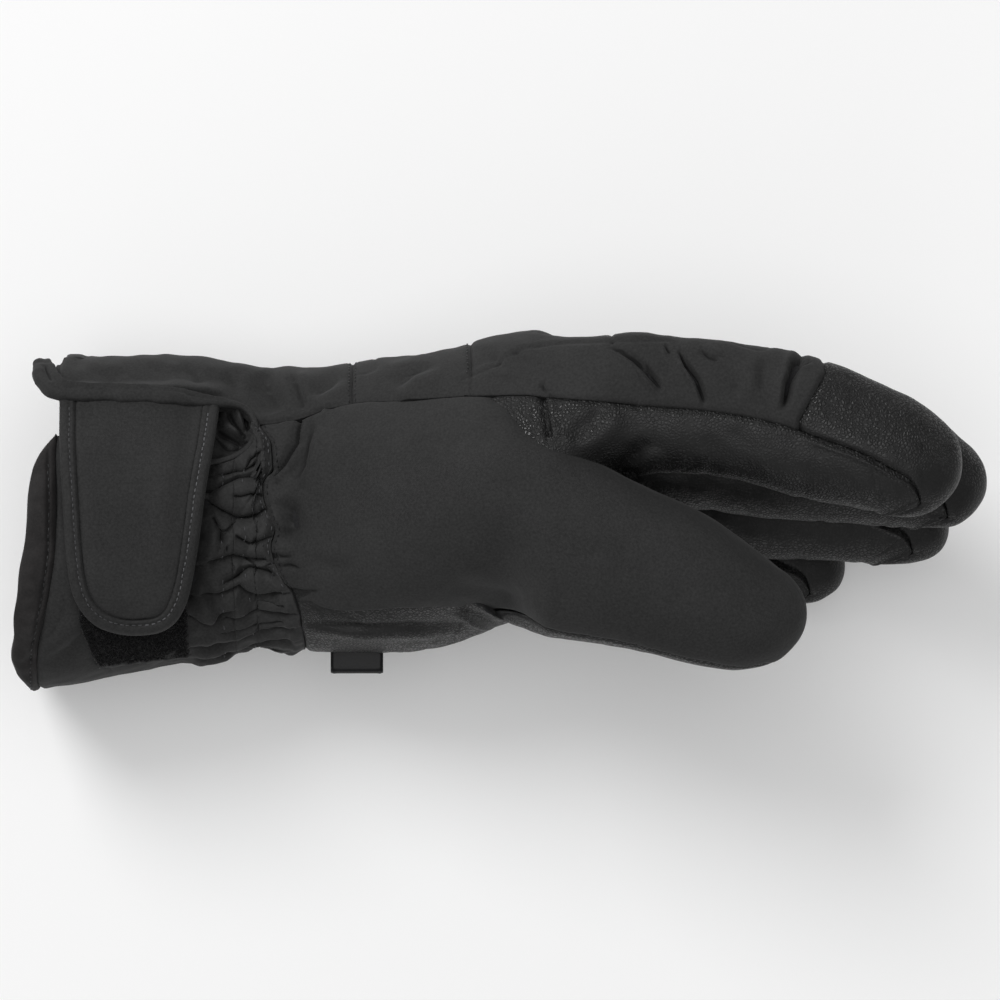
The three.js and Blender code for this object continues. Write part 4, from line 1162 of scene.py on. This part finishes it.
# Cuff's palm half, hem and wrist
# Creases of the shirred wrist on the thumb side: depth, path of x and y
GATHERS = [
    (3.2, [(-81.5, 10.6), (-76.0, 12.4), (-70.4, 13.9)]), (3.4, [(-83.2, 5.4), (-75.5, 8.4), (-68.2, 9.3)]),
    (3.6, [(-83.8, 3.2), (-75.5, -0.3), (-66.3, 0.3)]), (2.8, [(-81.5, -5.0), (-75.5, -1.9), (-70.4, -1.6)]),
    (3.4, [(-82.2, -1.0), (-79.6, -5.6), (-80.4, -9.4)]),
    (3.6, [(-84.0, -14.9), (-77, -11.3), (-67.6, -13.9)]),
    (3.2, [(-79.2, -20.1), (-72.1, -17.2), (-64.1, -18.8)]),
    (3.6, [(-86.1, -24.8), (-75.5, -20.9), (-70.9, -23.2), (-63.0, -23.2)]),
    (3.3, [(-79.2, -30.9), (-70.9, -28.1), (-60.5, -29.0)]),
    (3.4, [(-89.6, -38.9), (-75.5, -35.7), (-65.1, -32.8), (-59.5, -33.2)]),
    (3.0, [(-88.4, -42.3), (-75.5, -39.2), (-66.3, -36.3), (-60, -36.6)]),
    (2.6, [(-90.0, -30.0), (-84.0, -31.5), (-78.0, -28.0)]),
    (1.8, [(-77, 4.4), (-72, 5.4), (-67.6, 4.4)]), (1.9, [(-76.5, -6.3), (-72, -8.4), (-66, -7.4)]),
    (1.7, [(-74.5, -13.4), (-70, -15.7), (-64.5, -15.2)]), (1.7, [(-73, -26), (-68, -25.4), (-62, -26.4)]),
    (1.8, [(-81, -34), (-72, -32.2), (-62, -31)]), (1.6, [(-75, 12.0), (-72, 15.6), (-69.0, 17.0)]),
    (1.6, [(-79, -8.6), (-76.5, -16.4), (-78, -18.6)]),
]
ELASTIC_X = (-80.6, -71.5)  # where two rows of stitches hold the elastic inside
GATHER_REACH = (0.62, 2.0)  # of a crease 3 mm deep, on its steep side and on the other
PUFF = 2.3  # how far the gathered cloth swells between its creases
MOST_SLIDE = 1.9  # mm that a point slides round the wrist at most


def round_arc(deg):
    """Millimetres round the wrist from its back to an angle."""
    at = np.linspace(-90, 280, 1200)
    return np.interp(deg, at, run_along(hand_plain(np.full(at.shape, -71.0), at)))


def gather_lines():
    """The creases of the shirred wrist as a depth and points in x and millimetres round it: those noted on
    the thumb side, and seeded ones of the same kind on the palm and little-finger side."""
    lines = []
    for depth, path in GATHERS:
        x, y = np.array(path, float).T
        lines.append((depth, np.column_stack([x, round_arc(angle_at(x, y))])))
    rng = np.random.default_rng(101)
    at, last = float(round_arc(172.0)), float(round_arc(ULNAR_SEAM_DEG))
    while at < last:
        long_one = (rng.uniform(2.8, 3.6), 1.0, 0.0)
        short_one = (rng.uniform(1.4, 2.0), 0.6, rng.uniform(2.0, 3.4))
        for depth, reach, ahead in (long_one, short_one):
            a, b = -75 - reach * rng.uniform(5, 13), -73 + reach * rng.uniform(4, 12)
            slant, sway = rng.uniform(-2.4, 2.4), rng.uniform(-1.6, 1.6)
            v = at + ahead
            lines.append((depth, np.array([(a, v - slant), ((a + b) / 2, v + sway), (b, v + slant)])))
        at += rng.uniform(4.6, 7.0)
    return lines


def shirring(grid, angle):
    """Relief of the shirred wrist, and how far its points slide round it. At a distance e from a crease the
    cloth lies b exp(-e / w) below its puffed height, b being 1.4 times the crease's depth and w its reach
    on that side. The steep side slides over the crease by s (e / w) exp(1 - e / w), so the folds overhang,
    s being half the depth."""
    flat = np.stack([grid[..., 0], round_arc(angle)], -1)
    relief = np.zeros(grid.shape[:2])
    over = np.zeros(grid.shape[:2])
    rng = np.random.default_rng(105)
    for depth, path in gather_lines():
        off, share = along(flat, path)
        way = -1 if rng.uniform() < 0.75 else 1
        off = off * way
        taper = 1 - 0.6 * np.abs(2 * share - 1) ** 4
        width = np.where(off > 0, *GATHER_REACH) * depth / 3
        relief = np.minimum(relief, -1.4 * depth * taper * np.exp(-np.abs(off) / width))
        lip = np.where(off > 0, off / width * np.exp(1 - off / width), 0) * depth / 3
        over = over - way * 1.5 * lip * taper**2 * (np.abs(off) < 5)
    puff = PUFF + swells(grid, (0.35, 9, 103), (0.15, 4.5, 104))
    relief = relief + smooth(-94, -85, grid[..., 0]) * puff
    # a dent runs down from the slit's end, beside the tongue
    dent = [(-85.5, round_arc(118.0)), (-82.5, round_arc(128.0)), (-80.0, round_arc(137.0))]
    relief = relief - 2.2 * hump(along(flat, dent)[0], 2.0)
    slide = unit(np.gradient(grid, axis=1)) * np.clip(over, -MOST_SLIDE, MOST_SLIDE)[..., None]
    return relief, slide


def held_sides(grid):
    """0 at the first and last column, where the cloth is sewn down, and 1 from 3 mm on."""
    _, _, first, last = from_edges(grid)
    return smooth(0, 3, last) * smooth(0, 3, first)


def row_near(grid, column, x):
    """The row of a grid that is nearest to x at a column."""
    return int(np.argmin(np.abs(grid[:, column, 0] - x)))


def make_cuff_palm():
    """cuff_palm: the cuff's palm half, from the hem to the wrist, gathered towards the wrist."""
    wrist = constant(WRIST_X)
    grid, angle = hand_grid(hem_line, wrist, slit_angle, ulnar_angle, rows=85, columns=351)
    gathered, slide = shirring(grid, angle)
    relief = soft(grid, CUFF_PADDING, 1.2) + gathered + seams(grid, [0.9, 0, 0, 0.7])
    thumbward = smooth(30, 44, grid[..., 2])
    relief += folds(grid, CUFF_PALM_FOLDS) * thumbward
    # the cloth is drawn in below the tongue's right side, which stands off it there
    beside = [(row[2] + 0.7, row[0]) for row in TONGUE[5:]]
    relief -= 4.6 * hump(along(grid, beside)[0], 2.2) * thumbward
    slide = slide * held_sides(grid)[..., None]
    outer, up = sew("cuff_palm", grid, relief, "softshell_cloth", slide=slide)
    row = row_near(grid, 150, ELASTIC_X[0])
    stitch("grey", outer[row, 4:-4], up[row, 4:-4], step=2.6, share=0.35)


def make_hem():
    """The padded facing round the cuff's end: puffed across its width, with a wavy edge and a stitched
    groove 2 mm from its seam."""
    def wavy(deg):
        """The hem's outer edge. Where the hem is narrow it runs straight."""
        room = hem_line(deg) - cuff_end(deg)
        return cuff_end(deg) + (0.35 * np.sin(deg / 6.5) + 0.22 * np.sin(deg / 2.9 + 1)) * smooth(2, 6, room)

    groove = 2.0
    grid, _ = hand_grid(wavy, hem_line, slit_angle, ulnar_angle, rows=31, columns=241)
    down, up_to_seam, _, _ = from_edges(grid)
    breadth = down + up_to_seam
    share = np.clip(down / np.maximum(breadth, 1e-6), 0, 1)
    wide = np.clip(breadth / 8, 0.15, 1)
    puff = np.sin(np.pi * share) ** 0.7
    relief = (2.7 * puff - 1.2) * wide
    relief += swells(grid, (0.5, 13, 93), (0.28, 5.5, 94)) * puff * wide
    relief -= 0.6 * hump(up_to_seam - groove, 0.55) * wide
    outer, up = sew("cuff_hem", grid, relief, "hem_cloth", wall=2.6)
    rows = np.abs(up_to_seam - groove).argmin(0)
    columns = np.arange(12, grid.shape[1] - 3)
    stitch("dim", outer[rows[columns], columns], up[rows[columns], columns], step=2.1)


def make_wrist():
    """wrist_gather: the stretch cloth between the cuff and the wrist seam."""
    def start(x):
        """The angle at which the gathered cloth begins, beside the slit's round end."""
        return angle_at(x, line(GATHER_EDGE)(x))

    wrist = constant(WRIST_X)
    grid, angle = hand_grid(wrist, wrist_seam, start, ulnar_angle, rows=45, columns=421)
    gathered, slide = shirring(grid, angle)
    to_seam = from_edges(grid)[1]
    free = smooth(0.6, 3.0, to_seam)
    relief = soft(grid, CUFF_PADDING, 1.2) + gathered * mix(0.55, 1.0, free)
    relief += seams(grid, [0, 0.9, 0.2, 0.7])
    slide = slide * (free * held_sides(grid))[..., None]
    outer, up = sew("wrist_gather", grid, relief, "stretch_cloth", wall=2.2, slide=slide)
    # two rows of stitches along the wrist seam, only where the thumb's cloth follows it
    columns = np.arange(3, grid.shape[1] - 4)
    columns = columns[(grid[-1, columns, 1] > -24) & (grid[-1, columns, 2] > 40)]
    for gap, thread in ((0.8, "grey"), (2.1, "dim")):
        rows = np.abs(to_seam - gap).argmin(0)[columns]
        stitch(thread, outer[rows, columns], up[rows, columns], step=1.9, share=0.85)
    row = row_near(grid, 180, ELASTIC_X[1])
    stitch("grey", outer[row, 8:-4], up[row, 8:-4], step=2.6, share=0.35)


# Roll along the slit, gusset inside it, tongue, loop patch and webbing loop
def hand_normal(x, y):
    """Outward normals of the thumb side of the hand at x and y."""
    angle = angle_at(x, y)
    round_way = hand_plain(x, angle + 0.6) - hand_plain(x, angle - 0.6)
    long_way = hand_plain(x + 0.5, angle) - hand_plain(x - 0.5, angle)
    return unit(np.cross(round_way, long_way))


def above(x, y, lift):
    """The point that stands lift above the thumb side of the cuff, along the normal without its lengthwise
    part, and is seen from the thumb side at x and y; with that normal."""
    def upright(y_there):
        """The normals at y_there without their lengthwise part."""
        return unit(hand_normal(x, y_there) * (0.0, 1.0, 1.0))

    start = np.array(y, float)
    for _ in range(5):
        start = y - lift * upright(start)[..., 1]
    normal = upright(start)
    return hand_plain(x, angle_at(x, start)) + normal * np.asarray(lift)[..., None], normal


ROLL = [  # x, y, half width, half thickness, lift: from the lobe at the mouth to the slit's round end
    (-132.9, 43.7, 0.4, 0.3, 0.4), (-132.8, 43.0, 2.0, 1.2, 0.7), (-132.3, 41.4, 3.1, 2.0, 1.2),
    (-131.4, 39.2, 3.6, 2.3, 1.8), (-130.0, 37.2, 3.7, 2.4, 2.3), (-128.0, 35.6, 3.4, 2.3, 2.8),
    (-125.5, 34.7, 3.1, 2.0, 3.2), (-117, 34.2, 2.9, 1.85, 3.3), (-104, 33.6, 2.7, 1.8, 3.3),
    (-92, 32.8, 2.5, 1.7, 3.2), (-86, 32.1, 2.0, 1.4, 3.0), (-81, 31.4, 1.4, 1.15, 2.6),
    (-77, 30.9, 1.05, 0.95, 1.7), (-74, 29.9, 0.9, 0.85, 0.9), (-71.6, 27.4, 0.85, 0.85, 0.55),
    (-70.5, 24.0, 0.85, 0.85, 0.4), (-71.5, 20.2, 0.85, 0.85, 0.35), (-74.5, 17.0, 0.85, 0.8, 0.3),
    (-79, 14.9, 0.8, 0.75, 0.2), (-85, 13.8, 0.7, 0.6, 0.0),
]
ROLL_ROUNDNESS = 2.5  # power of the superellipse that is the roll's section


def make_roll():
    """The bound edge along the slit: superellipses carried along a path above the cuff. It has a crest along
    the shoulder away from the tongue, a shallow hollow beside that, and one short dent."""
    rows = np.array(ROLL, float)
    key = run_along(rows[:, :2])
    at = np.concatenate([np.linspace(0, 3, 24)[:-1], np.linspace(3, key[-1], 330)])
    x, y, width, thick, lift = columns_at(np.column_stack([key, rows]), at)
    centre, up = above(x, y, lift)
    ahead = unit(np.gradient(centre, axis=0))
    side = unit(np.cross(up, ahead))
    up = unit(np.cross(ahead, side))
    turn = np.linspace(0, 2 * np.pi, 44, endpoint=False)
    u, v = power(np.cos(turn), 2 / ROLL_ROUNDNESS), power(np.sin(turn), 2 / ROLL_ROUNDNESS)
    rings = centre[:, None] + side[:, None] * (width[:, None] * u)[..., None]
    rings = rings + up[:, None] * (thick[:, None] * v)[..., None]
    outward = unit(rings - centre[:, None])
    to_back = u if side[150, 1] > 0 else -u
    crest = (0.5 * hump(to_back - 0.72, 0.14) - 0.25 * hump(to_back - 0.3, 0.3)) * (v > 0)
    uneven = swells(rings, (0.14, 10, 121), (0.07, 4.5, 122))
    dent = fold(rings, [(-131.2, 43), (-130.4, 40.4), (-128.8, 37.6)], 0.5, 0.9, 0.3) * (v > 0)
    relief = smooth(0.9, 2.2, width)[:, None] * (crest + uneven + dent)
    rings = rings + outward * relief[..., None]
    girth = np.linalg.norm(np.diff(rings, axis=1), axis=-1).sum(1).max()
    run = run_along(rings.mean(1))
    uv = np.stack(np.meshgrid(run, np.linspace(0, 1, len(turn)) * girth, indexing="ij"), -1)
    obj = build_mesh("slit_binding", rings.reshape(-1, 3), tube_faces(rings), uv.reshape(-1, 2))
    finish(obj, "hem_cloth", SOFTSHELL, "slit_binding")


TONGUE_THICK = 2.4
BORDER = 4.7  # width of the tongue's bound edge
STITCH_IN = 2.9  # from the tongue's edge to its row of stitches


def tongue_rise(x, y):
    """The tongue's underside above the cuff: pressed down under the roll, on the pile towards its end, and
    standing off along its right side."""
    stands_off = smooth(-110, -87, x) * smooth(-29, -10, -y) * (1 - 0.7 * smooth(12, 31, y))
    return 0.5 + 1.7 * smooth(-31, -17, -y) + 3.0 * stands_off


def tongue_surface(x, y, lift):
    """Points above the cuff. The upper end slants as the roll does that covers it."""
    top, _, right = TONGUE[-1]
    y = y + 0.056 * (right - x) * smooth(18, top, y)
    return above(x, y, tongue_rise(x, y) + lift)


def tongue_outline(shares):
    """The tongue's outline from its upper left corner down, round the end and up to its upper right, and
    the direction inward from it."""
    left = [(row[1], row[0]) for row in TONGUE[::-1]]
    right = [(row[2], row[0]) for row in TONGUE]
    lowest = [((TONGUE[0][1] + TONGUE[0][2]) / 2, TONGUE[0][0] - 0.1)]
    corners = np.array(left + lowest + right, float)
    run = run_along(corners)
    path = read_path(np.linspace(0, run[-1], 600), run, corners)
    for _ in range(80):  # evens out the corners of the polyline
        path[1:-1] = 0.5 * path[1:-1] + 0.25 * (path[:-2] + path[2:])
    run = run_along(path)
    way = np.gradient(path, axis=0)
    inward = unit(np.stack([-way[:, 1], way[:, 0]], -1))
    at = shares * run[-1]
    return read_path(at, run, path), unit(read_path(at, run, inward))


def make_tongue_border(shares, outline, inward):
    """The bound edge round the tongue, its inner groove showing on the left and below. The distance inward
    from the outline runs across it."""
    inset = np.concatenate([np.linspace(0, 1.4, 10), np.linspace(1.4, BORDER, 14)[1:]])[None]
    x = outline[:, :1] + inward[:, :1] * inset
    y = outline[:, 1:] + inward[:, 1:] * inset
    groove = (0.25 + 0.55 * (1 - smooth(0.5, 0.66, shares))[:, None]) * hump(BORDER - inset, 0.5)
    crown = 0.3 * np.sin(np.pi * np.clip(inset / BORDER, 0, 1)) - 0.3 * hump(inset - STITCH_IN, 0.5)
    outer, up = tongue_surface(x, y, TONGUE_THICK + crown - rounded(inset, 1.3) - groove)
    uneven = 0.10 * waves(outer, 12, 131) + 0.05 * waves(outer, 4, 134) * smooth(0.2, 1.4, inset)
    outer = outer + up * uneven[..., None]
    inner, _ = tongue_surface(x, y, 0.7 * (1 - np.clip(inset / 0.8, 0, 1)))
    add_shell("strap_binding", outer, inner, "softshell_cloth")
    row = int(np.argmin(np.abs(inset[0] - STITCH_IN)))
    # one thread, painted grey down the left side and light up the right one: painted shade and painted light
    half = len(shares) * 52 // 100
    stitch("grey", outer[8:half, row], up[8:half, row], step=1.75)
    stitch("light", outer[half:-8, row], up[half:-8, row], step=1.75)


def make_tongue_middle(shares, border):
    """Rows by height between the border's inner edges, closed to a point at the lower end."""
    end = int(np.argmin(border[:, 1]))
    left, right = border[: end + 1][::-1], border[end:]
    t = 1 - np.cos(np.linspace(0, 1, 85) * np.pi / 2)
    heights = border[end, 1] + (TONGUE[-1][0] - border[end, 1]) * t[::-1]
    x_left = np.interp(heights, left[:, 1], left[:, 0])[:, None]
    x_right = np.interp(heights, right[:, 1], right[:, 0])[:, None]
    x = mix(x_left, x_right, np.linspace(0, 1, 65)[None])
    y = np.broadcast_to(heights[:, None], x.shape)
    gap = np.linalg.norm(np.stack([x, y], -1)[:, :, None] - border[None, None, ::2], axis=-1)
    near, nearest = gap.min(-1), shares[::2][gap.argmin(-1)]
    groove = (0.25 + 0.55 * (1 - smooth(0.5, 0.66, nearest))) * hump(near, 0.5)
    outer, up = tongue_surface(x, y, TONGUE_THICK - groove + 0.35 * smooth(0, 7, near))
    uneven = swells(outer, (0.2, 24, 132), (0.06, 9, 133)) * smooth(0, 3, near)
    inner, _ = tongue_surface(x, y, 0.0 * x)
    outer = outer + up * uneven[..., None]
    add_shell("strap_tab", outer, inner, "softshell_cloth", tip=True)


def make_tongue():
    """strap_binding and strap_tab."""
    shares = np.linspace(0, 1, 381)
    outline, inward = tongue_outline(shares)
    make_tongue_border(shares, outline, inward)
    make_tongue_middle(shares, outline + inward * BORDER)


GUSSET_X, GUSSET_Y = (-126, -69), (34, 11)
GUSSET_DEPTHS = (6.0, 3.9)  # below the hand's surface, under the tongue and at the slit's round end
GUSSET_THICK = 1.4
GUSSET_FOLDS = [
    ([(-79.5, 29), (-76.5, 24.5), (-73.0, 20.5)], 0.7, 2.88, 1.8),
    ([(-82, 23.5), (-78.0, 21.0), (-74.0, 19.0)], 0.7, 2.4, 1.8),
    ([(-73.8, 28), (-73.0, 24), (-74.6, 20.5)], 0.7, 1.68, 1.8),
]


def make_gusset():
    """Thin cloth folded back into the slit: it lies deep under the tongue and comes up in crumpled folds at
    the slit's round end."""
    x, y = np.meshgrid(np.linspace(*GUSSET_X, 141), np.linspace(*GUSSET_Y, 81), indexing="ij")
    up = hand_normal(x, y)
    grid = hand_plain(x, angle_at(x, y)) - up * mix(*GUSSET_DEPTHS, smooth(-88, -76, x))[..., None]
    relief = 1.6 * np.abs(waves(grid, 12, 141)) ** 0.8 - 1.0 + 0.12 * waves(grid, 5, 142)
    relief = relief + folds(grid, GUSSET_FOLDS)
    add_shell("slit_gusset", grid + up * relief[..., None], grid - up * GUSSET_THICK, "stretch_cloth")


PATCH_TOP = -16.0
PATCH_BOTTOM = (-45.3, -42.2)  # heights y at its left and right end
PATCH_LEFT = ([-45.5, -33, -16], [-116.1, -121.0, -121.5])  # heights y, x
PATCH_RIGHT = -90.2
PATCH_SIZE = (29, 28)  # its height and width, roughly, which its bevel is measured by
PATCH_THICK = 1.2
PILE_COUNT = 2200
PILE_RADIUS = 0.12


def patch_place(s, t, lift):
    """A place on the loop patch: s from its upper to its slanting lower edge, t from left to right."""
    y = mix(PATCH_TOP, mix(*PATCH_BOTTOM, t), s)
    return above(mix(np.interp(y, *PATCH_LEFT), PATCH_RIGHT, t), y, lift)


def make_patch():
    """loop_patch: the patch that the pile stands on."""
    s, t = np.meshgrid(np.linspace(0, 1, 61), np.linspace(0, 1, 51), indexing="ij")
    edge = np.minimum(np.minimum(s, 1 - s) * PATCH_SIZE[0], np.minimum(t, 1 - t) * PATCH_SIZE[1])
    base, up = patch_place(s, t, 0.0 * s)
    relief = PATCH_THICK + 0.15 * waves(base, 3, 151) - 0.7 * np.exp(-edge / 0.5)
    add_shell("loop_patch", base + up * relief[..., None], base + up * 0.2, "loop_pile")


def make_pile():
    """Short arched threads with three sides, standing on the patch where the tongue leaves it bare."""
    rng = np.random.default_rng(152)
    s, t = rng.uniform(0.42, 0.985, PILE_COUNT), rng.uniform(0.015, 0.985, PILE_COUNT)
    foot, up = patch_place(s, t, np.full(PILE_COUNT, 1.0))
    turn = rng.uniform(0, 2 * np.pi, PILE_COUNT)
    flat = unit(np.cross(up, np.stack([np.cos(turn), np.sin(turn), 0 * turn], -1)))
    lean = unit(up + 0.6 * unit(rng.normal(size=(PILE_COUNT, 3))))
    tall = rng.uniform(0.6, 1.3, PILE_COUNT) * mix(1.0, 0.5, smooth(0.93, 1, s))
    wide = rng.uniform(0.4, 0.9, PILE_COUNT)
    arch = np.linspace(0, np.pi, 6)
    path = foot[:, None] + flat[:, None] * (np.cos(arch)[None] * wide[:, None])[..., None]
    path = path + lean[:, None] * (np.sin(arch)[None] * tall[:, None])[..., None]
    ahead = unit(np.gradient(path, axis=1))
    side = unit(np.cross(ahead, flat[:, None] + 0.01))[:, :, None]
    top = np.cross(ahead[:, :, None], side)
    ring = np.radians([0, 120, 240])[:, None]
    tubes = path[:, :, None] + PILE_RADIUS * (side * np.cos(ring) + top * np.sin(ring))
    finish(many_tubes("pile_loops", tubes, np.zeros((tubes[..., 0].size, 2))), "loop_pile")


CLIP_LEFT, CLIP_RIGHT = -49.3, -34.0
CLIP_TOP, CLIP_BEND = -39.8, -46.0  # heights y
CLIP_Z = 37.0
WEBBING_THICK = 1.0
WEBBING_GAP = 0.5  # half the gap between the webbing's two layers


def make_clip_loop():
    """Narrow webbing folded double: a flat band carried round a hairpin, its selvedges a little thicker."""
    radius = WEBBING_GAP + WEBBING_THICK / 2
    run = np.linspace(CLIP_TOP, CLIP_BEND, 16)
    arc = np.linspace(0, np.pi, 17)[1:-1]
    path = np.concatenate([
        np.stack([run, np.full(16, CLIP_Z - radius)], -1),
        np.stack([CLIP_BEND - np.sin(arc) * radius, CLIP_Z - np.cos(arc) * radius], -1),
        np.stack([run[::-1], np.full(16, CLIP_Z + radius)], -1),
    ])
    ahead = unit(np.gradient(path, axis=0))
    out = np.stack([ahead[:, 1], -ahead[:, 0]], -1)
    t = np.linspace(0, 1, 35)
    edge = np.minimum(t, 1 - t) * (CLIP_RIGHT - CLIP_LEFT)
    bulge = 0.22 * hump(edge - 0.9, 0.5) - 0.45 * hump(edge, 0.35)

    def face(offset):
        """Points beside the webbing's middle line, offset to its outer side."""
        across = np.broadcast_to(mix(CLIP_LEFT, CLIP_RIGHT, t)[None, :, None], (len(path), len(t), 1))
        return np.concatenate([across, path[:, None] + out[:, None] * offset[None, :, None]], -1)

    outer, inner = face(WEBBING_THICK / 2 + bulge), face(-WEBBING_THICK / 2 - 0.5 * bulge)
    add_shell("clip_loop", outer, inner, "satin_webbing")


make_back()
make_palm()
make_thumb_panel()
make_thumb_leather()
for finger_name, finger in FINGERS.items():
    make_finger(finger_name, **finger)
make_cuff_palm()
make_hem()
make_wrist()
make_roll()
make_gusset()
make_tongue()
make_patch()
make_pile()
make_clip_loop()
make_stitches()

# Floor, light and camera, in metres
FLOOR_HALF = 3.0
VIEW_WIDTH = 0.290  # across the picture at the height of the silhouette
SILHOUETTE_Z = 0.055
TARGET = Vector((0, 0, 0.05))


def make_floor():
    """A pale sheet that light shines through from below, as on a product table."""
    mesh = bpy.data.meshes.new("floor")
    corners = [(x * FLOOR_HALF, y * FLOOR_HALF, 0) for x, y in ((-1, -1), (1, -1), (1, 1), (-1, 1))]
    mesh.from_pydata(corners, [], [(0, 1, 2, 3)])
    floor = bpy.data.objects.new("floor", mesh)
    bpy.context.scene.collection.objects.link(floor)
    acrylic, _, _ = material(
        "lit_opal_acrylic", Roughness=0.9, Base_Color=linear("#e6e6e6"), Emission_Color=linear("#ffffff"),
        Emission_Strength=0.16,
    )
    mesh.materials.append(acrylic)


def area_light(name, place, size, watts):
    """A round lamp at a place, turned to the glove."""
    light = bpy.data.lights.new(name, "AREA")
    light.shape, light.size, light.energy = "DISK", size, watts
    lamp = bpy.data.objects.new(name, light)
    bpy.context.scene.collection.objects.link(lamp)
    lamp.location = place
    lamp.rotation_euler = (TARGET - Vector(place)).to_track_quat("-Z", "Y").to_euler()


def make_studio():
    """A pale room, a large lamp from the cuff's and the back's side, one overhead and a weak one from the
    palm's side, and a long lens that looks straight down."""
    scene = bpy.context.scene
    scene.world = bpy.data.worlds.new("studio")
    scene.world.use_nodes = True
    background = scene.world.node_tree.nodes["Background"]
    background.inputs["Color"].default_value = linear("#f6f6f6")
    background.inputs["Strength"].default_value = 0.33
    area_light("key_softbox", (-1.1, 1.4, 1.85), 1.2, 36)
    area_light("overhead_softbox", (-0.1, 0.3, 2.75), 2.8, 27)
    area_light("palm_side_fill", (0.15, -1.6, 0.5), 0.5, 2)
    lens = bpy.data.cameras.new("camera")
    lens.lens, lens.sensor_width, lens.clip_end = 300, 36, 20
    camera = bpy.data.objects.new("camera", lens)
    scene.collection.objects.link(camera)
    distance = VIEW_WIDTH * lens.lens / lens.sensor_width
    camera.location = (0.00015, 0.0032, SILHOUETTE_Z + distance)
    scene.camera = camera
    scene.view_settings.view_transform = "Standard"


make_floor()
make_studio()
